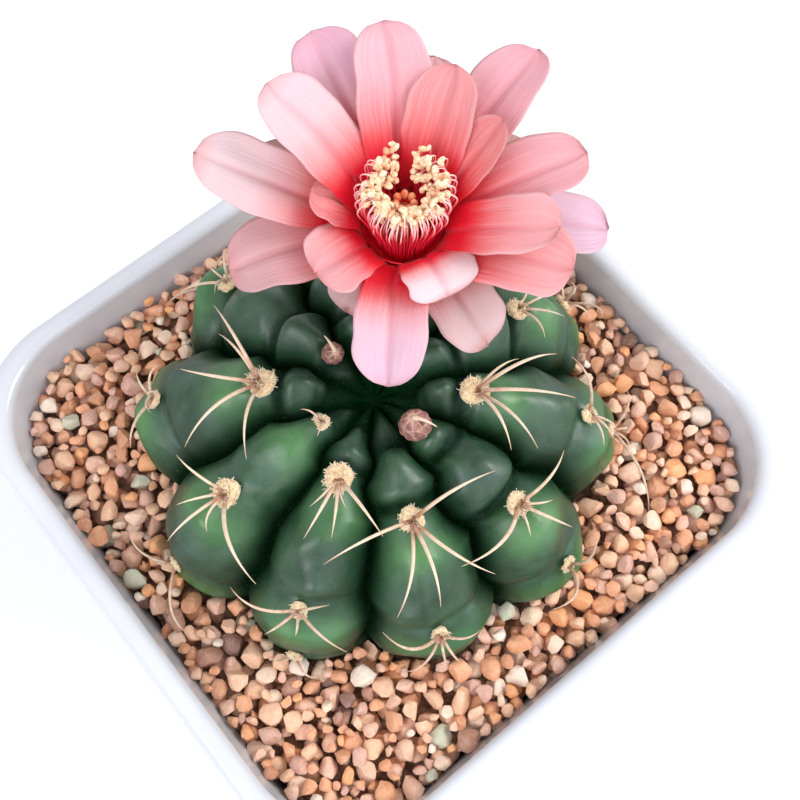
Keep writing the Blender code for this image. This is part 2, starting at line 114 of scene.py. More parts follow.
# Each areole: rib, place on the rib, wool radius, how dark its spines are from 0 to 1,
# and its spines as (bearing, length). Bearing 0 points away from the stem's tip.
AREOLES = [
    (0, 0, 1.6, 0.3, [(34, 3), (-4, 5), (-47, 6), (-109, 7)]),
    (0, 1, 1.3, 0.4, [(107, 4), (-176, 7), (-124, 8), (-71, 4)]),
    (1, 0, 1.6, 0.3, [(-80, 8), (-30, 6), (0, 7), (40, 6), (80, 8)]),
    (1, 1, 1.3, 0.5, [(-90, 6), (0, 4), (90, 6)]),
    (2, 0, 1.6, 0.3, [(-80, 7), (-35, 6), (0, 6), (40, 7), (80, 8)]),
    (2, 1, 1.3, 0.5, [(-90, 6), (10, 4), (90, 6)]),
    (3, 0, 1.6, 0.2, [(150, 9), (165, 7), (-49, 5.7), (-7, 5), (60, 7)]),
    (3, 1, 1.3, 0.5, [(-95, 6), (0, 4), (95, 7)]),
    (4, 0, 1.9, 0.2, [(-58, 11.5), (-48, 8), (-5, 10), (55, 13), (95, 12.5)]),
    (4, 1, 1.2, 0.3, [(-61, 5), (-150, 6), (170, 5), (140, 6), (105, 9)]),
    (5, 0, 1.1, 0.5, [(-50, 3), (40, 3)]),
    (5, 1, 1.8, 0.1, [(-80, 7.5), (-25, 6), (4, 9), (34, 5), (84, 13.5)]),
    (5, 2, 1.0, 0.6, [(-107, 7.5), (-50, 5), (20, 4), (71, 9.5)]),
    (6, 0, 1.8, 0.2, [(-22, 5), (-7, 9), (15, 8), (55, 10), (34, 4)]),
    (6, 1, 1.1, 0.6, [(-106, 9), (133, 5.5), (-41, 5), (79, 8), (10, 3)]),
    (6, 2, 1.1, 0.6, [(82, 4), (-60, 3)]),
    (7, 0, 1.6, 0.1, [(107, 12), (-81, 12.5), (-26, 12), (2, 11), (42, 12)]),
    (7, 1, 1.1, 0.7, [(-137, 11), (101, 5), (-67, 6), (-1, 4), (23, 4.5)]),
    (8, 0, 1.55, 0.3, [(97, 8.5), (-104, 13), (17, 7), (50, 4), (-37, 4)]),
    (8, 1, 1.1, 0.7, [(165, 10), (54, 4), (-133, 12), (-20, 4)]),
    (9, 0, 1.85, 0.2, [(25, 11), (38, 6.5), (-7, 12.5), (-50, 11.5), (-66, 10)]),
    (9, 1, 1.2, 0.6, [(-17, 4), (-86, 5), (152, 10), (-45, 4)]),
    (9, 2, 1.0, 0.8, [(-75, 12), (20, 4), (90, 6), (-30, 4)]),
]
SPINE_LIFT = 20.0               # degrees between a spine's root and the skin
SPINE_ARCH = 0.16
SPINE_RADIUS = 0.27
SPINE_STEPS, SPINE_SIDES = 22, 10
HAIRS, HAIR_STEPS, HAIR_SIDES = 210, 5, 4
WOOL_SEED, SPINE_SEED = 100, 300

# ---- flower ----
THROAT = np.array([13.4, 11.0, 104.0])
TUBE_RIB, TUBE_POLAR = 1, 18.0
WHORL_DROP = (0.0, 1.4, 2.8)
TEPAL_ROWS, TEPAL_COLUMNS = 44, 22
TEPAL_THICKNESS = 0.22
FOOT_SLOPE, FOOT_BEND, FOOT_DROP = 72.0, 1.2, 1.1   # tepals rise steeply out of the throat

# Each tepal: whorl, bearing, length, width, slope at base, slope at tip, cup, twist,
# how pointed it is, how pale it is, how lilac it is and how dusky it is.
TEPALS = [
    (1, 124, 22.0, 9.0, 16, 8, 0.12, -18, 0.25, 1.0, 0.0, 0.0),
    (0, 102, 18.5, 9.6, 42, 20, 0.12, 10, 0.1, 0.85, 0.1, 0.0),
    (1, 78, 22.0, 9.6, 38, 10, 0.16, 0, 0.0, 0.45, 0.6, 0.2),
    (0, 57, 19.5, 9.4, 42, 25, 0.12, 0, 0.1, 0.42, 0.25, 0.0),
    (1, 39, 17.0, 8.8, 36, 8, 0.12, 0, 0.1, 0.8, 0.1, 0.1),
    (0, 28, 15.2, 8.8, 48, 32, 0.18, -4, 0.45, 0.15, 0.0, 0.0),
    (0, -3, 12.5, 6.8, 44, 36, 0.20, -8, 0.35, 0.0, 0.0, 0.0),
    (1, 10, 22.5, 9.0, 32, 12, 0.16, -6, 0.0, 0.35, 0.25, 0.0),
    (2, -7, 14.5, 7.8, 26, 0, 0.10, 0, 0.2, 1.0, 0.0, 0.8),
    (1, -24, 19.0, 9.8, 28, 8, 0.14, -6, 0.2, 0.35, 0.15, 0.0),
    (2, -38, 21.0, 9.4, 8, -18, 0.14, 0, 0.1, 1.0, 0.6, 0.0),
    (0, -52, 14.5, 8.4, 28, 10, 0.18, 0, 0.1, 0.35, 0.0, 0.0),
    (1, -60, 16.5, 10.2, 14, 0, 0.06, 6, 0.0, 0.28, 0.0, 0.0),
    (0, -102, 6.2, 9.2, 16, -40, 0.12, 0, 0.2, 1.0, 0.0, 0.0),
    (2, -91, 13.0, 8.8, -12, -45, 0.10, 0, 0.2, 1.0, 0.0, 0.6),
    (1, -135, 15.5, 9.0, 2, -28, 0.16, 0, 0.4, 0.8, 0.5, 0.0),
    (0, 175, 7.5, 9.4, 14, -22, 0.12, 0, 0.2, 0.3, 0.0, 0.0),
    (1, 153, 17.0, 10.4, 0, -22, 0.10, 0, 0.0, 0.6, 0.1, 0.5),
    (0, 129, 6.8, 7.2, 32, 20, 0.14, 0, 0.1, 0.0, 0.0, 0.0),
    (2, 113, 17.0, 7.8, 14, -2, 0.10, 0, 0.2, 1.0, 0.0, 0.8),
    (2, -166, 7.5, 7.8, -14, -35, 0.10, 0, 0.2, 1.0, 0.0, 0.8),
]
FLOWER_TILT = 13.0              # the stamens lean away from the stem's axis
FLOWER_LEAN = 42.0              # the bearing that they lean towards
STAMENS = 150
STAMEN_GAP = 15                 # degrees left free on each side of the ring's back
STAMEN_STEPS = 12
LOBES = 2                       # balls that make one anther
TEPAL_SEED, STAMEN_SEED = 500, 77
# Each bud: rib, polar angle, degrees aside from the crest, radius, height, and its horn's
# bearing and length.
BUD_TIERS, BUD_SCALES = 5, 8
BUDS = [(3, 13.8, 0, 1.4, 3.4, -12, 3.0), (8, 16.0, -9, 2.0, 3.8, 24, 3.8)]

# ---- grit ----
GRAVEL_TOP = 70.0
STONE_RADII = (1.1, 1.9)
STONES_PER_PIECE = 400
STONE_CUTS = 12
SMALL_SHARE, SMALL_SIZE = 0.22, 0.62    # how many stones are small, and how much smaller
HEAP_CELL = 0.5                 # size of the height map's cells
HEAP_START = 5.0                # depth under the grit's top where the stones begin
HEAP_OVER = 0.9                 # how far a stone's centre may lie above the grit's top
TRIES, MISSES = 26, 60          # places tried for a stone, and failures in a row that end it
CRUMB_TOP, CRUMB_BOTTOM = 2.6, 5.6      # depths of the crumbs' sheet under the grit's top


# ================================================================== meshes

def new_piece(name, points, faces, material, attributes=None, smooth=True):
    """Object from points in millimetres, an array of equal faces or a list of such arrays,
    and one value per point for each named attribute."""
    groups = faces if isinstance(faces, list) else [faces]
    corners = np.concatenate([g.ravel() for g in groups]).astype(np.int32)
    sizes = np.concatenate([np.full(len(g), g.shape[1]) for g in groups]).astype(np.int32)
    starts = np.concatenate([[0], np.cumsum(sizes)[:-1]]).astype(np.int32)
    mesh = bpy.data.meshes.new(name)
    mesh.vertices.add(len(points))
    mesh.vertices.foreach_set("co", (np.asarray(points) * MM).astype(np.float32).ravel())
    mesh.loops.add(len(corners))
    mesh.loops.foreach_set("vertex_index", corners)
    mesh.polygons.add(len(sizes))
    mesh.polygons.foreach_set("loop_start", starts)
    mesh.polygons.foreach_set("use_smooth", np.full(len(sizes), smooth))
    mesh.update(calc_edges=True)
    mesh.validate()
    for label, values in (attributes or {}).items():
        layer = mesh.attributes.new(label, "FLOAT", "POINT")
        layer.data.foreach_set("value", np.asarray(values, np.float32).ravel())
    mesh.materials.append(material)
    piece = bpy.data.objects.new(name, mesh)
    bpy.context.scene.collection.objects.link(piece)
    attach(piece, "root")
    return piece


def grid_faces(rows, columns, closed_rows=False, closed_columns=False):
    """Quads of a rows by columns grid of points, wrapped round where it is closed."""
    i = np.arange(rows if closed_rows else rows - 1)[:, None]
    j = np.arange(columns if closed_columns else columns - 1)[None, :]
    a, b = i * columns, (i + 1) % rows * columns
    right = (j + 1) % columns
    return np.stack([a + j, a + right, b + right, b + j], axis=-1).reshape(-1, 4)


def fans(rows, columns):
    """Triangles that close the first and last ring of a grid with one point each."""
    j = np.arange(columns)
    k = (j + 1) % columns
    first = np.full(columns, rows * columns)
    top = (rows - 1) * columns
    return np.concatenate([np.stack([first, k, j], axis=-1),
                           np.stack([first + 1, top + j, top + k], axis=-1)])


def closed_grid(rings):
    """Points and faces of a tube of rings whose two ends are closed by fans."""
    rows, columns, _ = rings.shape
    ends = np.stack([rings[0].mean(axis=0), rings[-1].mean(axis=0)])
    points = np.concatenate([rings.reshape(-1, 3), ends])
    return points, [grid_faces(rows, columns, closed_columns=True), fans(rows, columns)]


def unit(v):
    return v / np.linalg.norm(v, axis=-1, keepdims=True)


def tubes(paths, radii, sides, flat=1.0):
    """Closed tubes round many paths at once.

    paths is (tubes, steps, 3) and radii (tubes, steps). Each ring is an ellipse in the
    plane across the path, radius times flat thick and radius wide. Both ends are fans.
    The third result is each point's share of the way along its tube.
    """
    count, steps, _ = paths.shape
    along = unit(np.gradient(paths, axis=1))
    helper = np.where(np.abs(along[:, :1, 2:]) > 0.9, [1.0, 0.0, 0.0], [0.0, 0.0, 1.0])
    side = unit(np.cross(helper, along))
    up = np.cross(along, side)
    turn = np.linspace(0, 2 * np.pi, sides, endpoint=False)
    rings = (paths[:, :, None]
             + radii[:, :, None, None] * (np.cos(turn)[:, None] * side[:, :, None]
                                          + flat * np.sin(turn)[:, None] * up[:, :, None]))
    ends = np.stack([paths[:, 0], paths[:, -1]], axis=1)
    per_tube = steps * sides + 2
    points = np.concatenate([rings.reshape(count, -1, 3), ends], axis=1).reshape(-1, 3)
    shift = np.arange(count)[:, None, None] * per_tube
    quads = (grid_faces(steps, sides, closed_columns=True)[None] + shift).reshape(-1, 4)
    caps = (fans(steps, sides)[None] + shift).reshape(-1, 3)
    share = np.repeat(np.linspace(0, 1, steps), sides)
    share = np.tile(np.append(share, [0.0, 1.0]), count)
    return points, [quads, caps], share


def ball(rings=6, sides=8):
    """Unit ball of stacked rings, with its faces."""
    polar = np.linspace(np.pi, 0, rings + 2)[1:-1]
    turn = np.linspace(0, 2 * np.pi, sides, endpoint=False)
    grid = np.stack([np.sin(polar)[:, None] * np.cos(turn), np.sin(polar)[:, None] * np.sin(turn),
                     np.repeat(np.cos(polar)[:, None], sides, axis=1)], axis=-1)
    points = np.concatenate([grid.reshape(-1, 3), [[0, 0, -1], [0, 0, 1]]])
    return points, [grid_faces(rings, sides, closed_columns=True), fans(rings, sides)]


def repeat_shape(points, faces, places):
    """The same faces for many copies, whose points are places, an array (copies, points, 3)."""
    copies = len(places)
    shift = np.arange(copies)[:, None, None] * len(points)
    grown = [(group[None] + shift).reshape(-1, group.shape[1]) for group in faces]
    return places.reshape(-1, 3), grown


def turns_of(vectors, angles):
    """Rotation matrices about unit vectors, one for each angle (Rodrigues' formula)."""
    x, y, z = vectors.T
    zero = np.zeros_like(x)
    cross = np.stack([np.stack([zero, -z, y], -1), np.stack([z, zero, -x], -1),
                      np.stack([-y, x, zero], -1)], axis=1)
    sine, cosine = np.sin(angles)[:, None, None], np.cos(angles)[:, None, None]
    return np.eye(3) + sine * cross + (1 - cosine) * (cross @ cross)


def ease(x):
    x = np.clip(x, 0, 1)
    return x * x * (3 - 2 * x)


def ripple(points, size, seed):
    """Smooth wavy noise between about -1 and 1: the mean of sines along random directions."""
    source = np.random.default_rng(seed)
    ways = unit(source.normal(size=(9, 3))) * source.uniform(0.7, 1.6, (9, 1)) * 2 * np.pi / size
    phases = source.uniform(0, 2 * np.pi, 9)
    return np.sin(points @ ways.T + phases).mean(axis=-1) * 2


# ================================================================== materials

class Shader:
    """A Principled material with short calls for its nodes."""

    def __init__(self, name, colour=(0.5, 0.5, 0.5), roughness=0.5, **sockets):
        self.material = bpy.data.materials.new(name)
        self.material.use_nodes = True
        self.tree = self.material.node_tree
        self.main = self.tree.nodes["Principled BSDF"]
        self.set("Base Color", (*colour, 1.0))
        self.set("Roughness", roughness)
        for socket, value in sockets.items():
            self.set(socket.replace("_", " "), value)

    def set(self, socket, value):
        self.main.inputs[socket].default_value = value

    def node(self, kind, inputs=None, **settings):
        made = self.tree.nodes.new(kind)
        for key, value in settings.items():
            setattr(made, key, value)
        for key, value in (inputs or {}).items():
            self.feed(made.inputs[key], value)
        return made

    def feed(self, socket, value):
        if isinstance(value, bpy.types.NodeSocket):
            self.tree.links.new(value, socket)
        elif isinstance(value, tuple) and len(value) == 3 and socket.type == "RGBA":
            socket.default_value = (*value, 1.0)
        else:
            socket.default_value = value

    def attribute(self, name):
        return self.node("ShaderNodeAttribute", attribute_name=name).outputs["Fac"]

    def place(self):
        return self.node("ShaderNodeTexCoord").outputs["Object"]

    def noise(self, scale, detail=3.0, roughness=0.5, vector=None):
        """Noise whose scale counts waves per millimetre."""
        vector = vector or self.place()
        made = self.node("ShaderNodeTexNoise", {"Vector": vector, "Scale": scale / MM,
                                                "Detail": detail, "Roughness": roughness})
        return made.outputs["Fac"]

    def math(self, operation, a, b=0.0, clamp=False):
        made = self.node("ShaderNodeMath", {0: a, 1: b}, operation=operation, use_clamp=clamp)
        return made.outputs[0]

    def span(self, value, low, high, to_low=0.0, to_high=1.0):
        """Value mapped from low..high to to_low..to_high, clamped and eased."""
        made = self.node("ShaderNodeMapRange", {"Value": value, "From Min": low, "From Max": high,
                                                "To Min": to_low, "To Max": to_high},
                         interpolation_type="SMOOTHSTEP")
        return made.outputs["Result"]

    def mix(self, share, a, b, blend="MIX"):
        made = self.node("ShaderNodeMix", data_type="RGBA", blend_type=blend)
        self.feed(made.inputs[0], share)
        self.feed(made.inputs[6], a)
        self.feed(made.inputs[7], b)
        return made.outputs[2]

    def ramp(self, value, stops, interpolation="LINEAR"):
        made = self.node("ShaderNodeValToRGB", {"Fac": value})
        made.color_ramp.interpolation = interpolation
        while len(made.color_ramp.elements) < len(stops):
            made.color_ramp.elements.new(0.5)
        for element, (place, colour) in zip(made.color_ramp.elements, stops):
            element.position = place
            element.color = (*colour, 1.0)
        return made.outputs["Color"]

    def colour(self, value):
        self.feed(self.main.inputs["Base Color"], value)

    def bump(self, height, distance, strength=1.0):
        """Bump of the given height in millimetres."""
        made = self.node("ShaderNodeBump", {"Height": height, "Distance": distance * MM,
                                            "Strength": strength})
        self.tree.links.new(made.outputs["Normal"], self.main.inputs["Normal"])


def glaze():
    """White glaze: nearly even, with faint long waves and fine orange peel."""
    s = Shader("pot_glaze", (0.76, 0.77, 0.81), 0.16, Coat_Weight=0.2, Coat_Roughness=0.06)
    s.colour(s.mix(s.span(s.noise(0.05), 0.35, 0.65), (0.615, 0.626, 0.680), (0.65, 0.660, 0.708)))
    s.feed(s.main.inputs["Roughness"], s.span(s.noise(0.4), 0.3, 0.7, 0.13, 0.20))
    s.bump(s.noise(0.9, 2.0), 0.01, 0.25)
    return s.material


def soil():
    s = Shader("soil", (0.06, 0.04, 0.028), 0.95)
    s.colour(s.mix(s.span(s.noise(0.8, 6.0), 0.35, 0.7), (0.13, 0.06, 0.035), (0.38, 0.21, 0.13)))
    s.bump(s.noise(1.2, 6.0, 0.7), 0.8, 0.9)
    return s.material


STONE_TONES = [
    (0.00, (0.84, 0.38, 0.19)), (0.18, (0.90, 0.56, 0.36)), (0.38, (0.86, 0.53, 0.39)),
    (0.54, (0.94, 0.72, 0.55)), (0.66, (0.66, 0.30, 0.15)), (0.76, (0.66, 0.39, 0.32)),
    (0.83, (0.94, 0.42, 0.16)), (0.90, (0.40, 0.19, 0.14)), (0.93, (0.95, 0.86, 0.74)),
    (0.975, (0.12, 0.05, 0.05)), (0.988, (0.52, 0.62, 0.48)),
]


def stone():
    """Mixed grit: one tone for each stone, mottled and pitted."""
    s = Shader("grit_stone", (0.6, 0.4, 0.3), 0.62)
    tone = s.ramp(s.attribute("tone"), STONE_TONES, "CONSTANT")
    tone = s.mix(0.16, tone, (0.92, 0.46, 0.28))
    mottle = s.span(s.noise(0.9, 5.0, 0.65), 0.3, 0.72)
    pale = s.mix(0.3, tone, (0.93, 0.80, 0.70))
    dark = s.mix(0.4, tone, (0.36, 0.16, 0.09))
    flecks = s.span(s.noise(3.2, 3.0), 0.60, 0.70)
    body = s.mix(flecks, s.mix(mottle, dark, pale), s.mix(0.7, tone, (0.95, 0.86, 0.78)))
    s.colour(s.mix(0.42, tone, body))
    s.feed(s.main.inputs["Roughness"], s.span(s.noise(1.6), 0.3, 0.7, 0.24, 0.6))
    s.set("Subsurface Weight", 0.25)
    s.set("Subsurface Radius", (1.3 * MM, 0.5 * MM, 0.3 * MM))
    s.bump(s.noise(1.9, 6.0, 0.7), 0.28, 0.8)
    return s.material


def stem_skin_finish():
    """Waxy skin: bottle green ribs, painted near-black shade in the grooves, painted chin
    highlights, painted grey sheen.
    """
    s = Shader("stem_skin", (0.05, 0.12, 0.06), 0.42, Coat_Weight=0.12, Coat_Roughness=0.5)
    height = s.attribute("height")
    blotch = s.noise(0.12, 4.0, 0.6)
    body = s.mix(s.span(blotch, 0.32, 0.68), (0.007, 0.036, 0.014), (0.022, 0.076, 0.030))
    # Painted shade: near black where the height attribute is low, in the grooves, the cross creases
    # and the tip's dimple.
    body = s.mix(s.span(height, 0.15, 0.72), (0.002, 0.014, 0.004), body)
    # Painted highlight: bright green painted on each chin, standing in for the light it catches.
    chin_highlight = s.mix(s.span(blotch, 0.35, 0.65), (0.045, 0.16, 0.045), (0.095, 0.25, 0.075))
    body = s.mix(s.math("MULTIPLY", s.attribute("chin_highlight"), 0.85), body, chin_highlight)
    # Painted sheen: a grey-blue reflection painted in soft patches on the crests.
    painted_sheen = s.math("MULTIPLY", s.span(s.noise(0.3, 3.0), 0.35, 0.75), s.attribute("crest"))
    body = s.mix(s.math("MULTIPLY", painted_sheen, 0.30), body, (0.09, 0.155, 0.14))
    specks = s.span(s.noise(3.4, 2.0), 0.66, 0.74)
    body = s.mix(s.math("MULTIPLY", specks, 0.4), body, (0.11, 0.20, 0.13))
    s.colour(body)
    wax = s.span(s.noise(0.6, 4.0), 0.3, 0.7, 0.30, 0.46)
    # Gloss and coat fade where the height attribute is low, in step with the painted shade.
    s.feed(s.main.inputs["Roughness"], s.math("ADD", wax, s.span(height, 0.0, 0.6, 0.45, 0.0)))
    s.feed(s.main.inputs["Coat Weight"], s.span(height, 0.3, 0.8, 0.0, 0.22))
    s.feed(s.main.inputs["Specular IOR Level"], s.span(height, 0.05, 0.6, 0.0, 0.5))
    s.set("Subsurface Weight", 0.06)
    s.set("Subsurface Radius", (0.6 * MM, 1.2 * MM, 0.5 * MM))
    s.bump(s.noise(2.4, 4.0, 0.6), 0.06, 0.55)
    return s.material


def wool():
    s = Shader("areole_wool", (0.72, 0.60, 0.44), 0.9, Sheen_Weight=0.5)
    deep = s.mix(s.span(s.noise(2.5, 3.0), 0.35, 0.65), (0.56, 0.34, 0.18), (0.84, 0.62, 0.36))
    s.colour(s.mix(s.attribute("along"), deep, (0.95, 0.83, 0.60)))
    s.bump(s.noise(5.0, 2.0), 0.12, 0.7)
    return s.material


def spine():
    """Horny spine: red-brown root, tan shaft and a browner end, darker on old areoles."""
    s = Shader("spine", (0.8, 0.68, 0.52), 0.42)
    along = s.attribute("along")
    shaft = s.ramp(along, [(0.0, (0.22, 0.07, 0.035)), (0.10, (0.42, 0.20, 0.11)),
                           (0.24, (0.74, 0.54, 0.39)), (0.75, (0.80, 0.62, 0.46)),
                           (1.0, (0.52, 0.32, 0.20))])
    shaft = s.mix(s.math("MULTIPLY", s.attribute("age"), 0.7), shaft, (0.36, 0.17, 0.10))
    s.colour(s.mix(s.span(s.noise(1.3, 4.0), 0.4, 0.7, 0.0, 0.35), shaft, (0.90, 0.80, 0.66)))
    s.set("Subsurface Weight", 0.1)
    s.set("Subsurface Radius", (0.4 * MM, 0.25 * MM, 0.15 * MM))
    s.bump(s.noise(4.0, 3.0), 0.04, 0.6)
    return s.material


def tepal_finish():
    """Silky petal: crimson at the throat, salmon to pale pink outwards, with fine veins along
    its length, a darker midrib and a beige back. Light also passes through it."""
    s = Shader("tepal", (0.95, 0.5, 0.5), 0.42, Sheen_Weight=0.08, Specular_IOR_Level=0.42)
    along, across = s.attribute("along"), s.attribute("across")
    pale, lilac, seed = s.attribute("pale"), s.attribute("lilac"), s.attribute("seed")
    body = s.ramp(along, [(0.0, (0.60, 0.0, 0.014)), (0.12, (0.84, 0.0, 0.018)),
                          (0.29, (0.90, 0.002, 0.024)), (0.41, (0.92, 0.06, 0.075)),
                          (0.54, (0.92, 0.16, 0.165)), (0.72, (0.91, 0.27, 0.28)),
                          (1.0, (0.90, 0.31, 0.32))])
    washed = s.ramp(along, [(0.0, (0.60, 0.0, 0.014)), (0.10, (0.86, 0.0, 0.02)),
                            (0.23, (0.90, 0.004, 0.03)), (0.33, (0.90, 0.12, 0.13)),
                            (0.42, (0.90, 0.36, 0.38)), (0.62, (0.94, 0.68, 0.73)),
                            (0.88, (0.95, 0.76, 0.82)), (1.0, (0.93, 0.54, 0.56))])
    body = s.mix(pale, body, washed)
    lilac_share = s.math("MULTIPLY", lilac, s.span(along, 0.3, 0.8))
    body = s.mix(lilac_share, body, (0.80, 0.50, 0.76))
    vein_place = s.node("ShaderNodeCombineXYZ", {"X": s.math("MULTIPLY", across, 13.0),
                                                 "Y": s.math("MULTIPLY", along, 1.6),
                                                 "Z": s.math("MULTIPLY", seed, 37.0)})
    vein_noise = s.node("ShaderNodeTexNoise", {"Vector": vein_place.outputs[0], "Scale": 1.0,
                                               "Detail": 4.0, "Roughness": 0.65}).outputs["Fac"]
    veins = s.span(vein_noise, 0.38, 0.66)
    vein_reach = s.span(along, 0.2, 0.5, 0.0, 0.22)
    body = s.mix(s.math("MULTIPLY", veins, vein_reach), body, (0.95, 0.72, 0.76))
    rib = s.span(s.math("ABSOLUTE", across), 0.0, 0.16, 1.0, 0.0)
    rib = s.math("MULTIPLY", rib, s.span(along, 0.25, 1.0, 0.32, 0.10))
    body = s.mix(rib, body, (0.78, 0.12, 0.18))
    edge = s.span(s.math("ABSOLUTE", across), 0.72, 1.0, 0.0, 0.35)
    body = s.mix(s.math("MULTIPLY", edge, s.span(along, 0.3, 0.6)), body, (0.93, 0.62, 0.66))
    body = s.mix(s.attribute("dusk"), body, (0.72, 0.62, 0.57), "MULTIPLY")
    back = s.mix(s.math("MULTIPLY", veins, 0.4), (0.70, 0.48, 0.40), (0.80, 0.62, 0.54))
    back = s.mix(s.span(along, 0.25, 0.9), (0.62, 0.30, 0.22), back)
    inside = s.attribute("inside")
    body = s.mix(inside, back, body)
    s.colour(body)
    s.bump(vein_noise, 0.15, 0.85)
    through = s.node("ShaderNodeBsdfTranslucent", {"Color": body})
    shared = s.node("ShaderNodeMixShader", {0: 0.34, 1: s.main.outputs[0], 2: through.outputs[0]})
    s.tree.links.new(shared.outputs[0], s.tree.nodes["Material Output"].inputs["Surface"])
    return s.material


def funnel_finish():
    """Funnel: glowing crimson inside, fleshy green-brown outside and crimson towards its rim."""
    s = Shader("flower_funnel", (0.5, 0.02, 0.03), 0.4)
    depth = s.attribute("along")
    inner = s.ramp(depth, [(0.0, (0.42, 0.002, 0.012)), (0.5, (0.86, 0.010, 0.03)),
                           (1.0, (0.92, 0.012, 0.032))])
    outer = s.mix(s.span(s.noise(0.5, 4.0), 0.4, 0.6), (0.20, 0.22, 0.10), (0.50, 0.34, 0.24))
    outer = s.mix(s.span(depth, 0.35, 0.7), outer, (0.80, 0.01, 0.025))
    s.colour(s.mix(s.attribute("inside"), outer, inner))
    s.bump(s.noise(1.2, 3.0), 0.08, 0.5)
    return s.material


def filament():
    s = Shader("filament", (0.9, 0.5, 0.5), 0.4)
    s.colour(s.ramp(s.attribute("along"), [(0.0, (0.66, 0.0, 0.025)), (0.45, (0.88, 0.04, 0.08)),
                                           (0.72, (0.93, 0.42, 0.42)), (1.0, (0.98, 0.84, 0.74))]))
    s.bump(s.noise(5.0), 0.02, 0.4)
    return s.material


def pollen(name, low, high):
    s = Shader(name, high, 0.85)
    s.colour(s.mix(s.span(s.noise(0.9, 4.0, 0.7), 0.36, 0.60), low, high))
    s.bump(s.noise(7.0, 3.0), 0.14, 0.9)
    return s.material


def bud_finish():
    """Bud: mauve-brown scales with pale dry edges."""
    s = Shader("bud_scales", (0.4, 0.22, 0.22), 0.66)
    body = s.mix(s.span(s.noise(1.2, 4.0), 0.35, 0.65), (0.16, 0.06, 0.05), (0.38, 0.18, 0.15))
    s.colour(s.mix(s.attribute("edge"), body, (0.60, 0.38, 0.28)))
    s.bump(s.noise(4.0, 3.0), 0.06, 0.6)
    return s.material


def floor_paper():
    """White paper that glows a little far from the object, where the lights do not reach."""
    s = Shader("floor_paper", (0.88, 0.88, 0.89), 0.9)
    s.bump(s.noise(0.2, 2.0), 0.05, 0.1)
    reach = s.node("ShaderNodeVectorMath", {0: s.place()}, operation="LENGTH").outputs["Value"]
    s.set("Emission Color", WHITE)
    s.feed(s.main.inputs["Emission Strength"], s.span(reach, GLOW_START, GLOW_END, 0.0, GLOW))
    return s.material


# ================================================================== pot

def square_ring(half, z, share=CORNER_SHARE):
    """Ring of a square with quarter-circle corners of radius half times share."""
    quarter = np.repeat(np.arange(4), CORNER_STEPS + 1)
    middle = np.radians(45 + 90 * quarter)
    bend = np.tile(np.radians(np.linspace(-45, 45, CORNER_STEPS + 1)), 4) + middle
    radius = half * share
    reach = (half - radius) * np.sqrt(2)
    return np.stack([reach * np.cos(middle) + radius * np.cos(bend),
                     reach * np.sin(middle) + radius * np.sin(bend),
                     np.full(len(bend), z)], axis=-1)


def square_reach(turn, half):
    """Distance from the middle to the rounded square's edge in each direction."""
    radius = half * CORNER_SHARE
    flat = half - radius
    way = np.abs(np.stack([np.cos(turn), np.sin(turn)], axis=-1))
    straight = half / way.max(axis=-1)
    along = flat * way.sum(axis=-1)
    curved = along + np.sqrt(np.maximum(along ** 2 - 2 * flat ** 2 + radius ** 2, 0))
    return np.where(straight * way.min(axis=-1) > flat, curved, straight)


def arc(centre, radius_out, radius_up, start, end, steps):
    """(half, z) points of an ellipse's arc between two angles in degrees."""
    turn = np.radians(np.linspace(start, end, steps))
    return list(zip(centre[0] + radius_out * np.cos(turn), centre[1] + radius_up * np.sin(turn)))


def inner_half(z):
    share = (z - FLOOR_TOP) / (POT_HEIGHT - 1.6 - FLOOR_TOP)
    return INNER_BOTTOM + (INNER_TOP - INNER_BOTTOM) * share


def make_pot(finish):
    """The pot's wall as rounded-square rings along its cut outline, from the foot up over the
    rolled rim, down the inner wall and through the drain hole."""
    lip_bottom = POT_HEIGHT - LIP_HEIGHT
    roll = RIM_WIDTH / 2
    outline = arc((FOOT_HALF - 0.6, 0.6), 0.6, 0.6, -90, 0, 5)
    outline += [(FOOT_HALF + 2.5, 12.0), (POT_HALF - 2.6, lip_bottom - 4.0),
                (POT_HALF - 1.95, lip_bottom - 0.5)]
    outline += arc((POT_HALF - 0.9, lip_bottom + 1.0), 0.9, 1.0, -90, 0, 6)
    outline += arc((POT_HALF - roll, POT_HEIGHT - 1.5), roll, 1.5, 0, 180, 17)
    outline += [(inner_half(z), z) for z in (POT_HEIGHT - 3.5, 66.0, 40.0, FLOOR_TOP + 3.0)]
    outline += arc((INNER_BOTTOM - 3.0, FLOOR_TOP + 3.0), 3.0, 3.0, -15, -90, 6)
    rings = [square_ring(half, z) for half, z in outline]
    rings += [square_ring(DRAIN_RADIUS, z, 1.0) for z in (FLOOR_TOP, FLOOR_TOP - 0.4)]
    rings += [square_ring(DRAIN_RADIUS, z, 1.0) for z in (FOOT_HEIGHT + 0.4, FOOT_HEIGHT)]
    rings += [square_ring(FOOT_HALF - FOOT_WIDTH - 0.8, FOOT_HEIGHT),
              square_ring(FOOT_HALF - FOOT_WIDTH, 0.0)]
    rings = np.array(rings)
    faces = grid_faces(len(rings), rings.shape[1], closed_rows=True, closed_columns=True)
    pot = new_piece("glazed_pot", rings.reshape(-1, 3), faces, finish)
    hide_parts("pot")


# ================================================================== stem

def stem_globe(lon, polar):
    """The smooth globe through the areoles, with the dimple at its tip."""
    radius = STEM_RADIUS * np.sin(polar)
    rise = np.where(polar < np.pi / 2, CROWN_RISE, ROOT_DROP) * np.cos(polar)
    z = EQUATOR + rise - DIMPLE_DEPTH * np.exp(-(radius / DIMPLE_RADIUS) ** 2) * (np.cos(polar) > 0)
    return np.stack([STEM_CENTRE[0] + radius * np.cos(lon),
                     STEM_CENTRE[1] + radius * np.sin(lon), z], axis=-1)


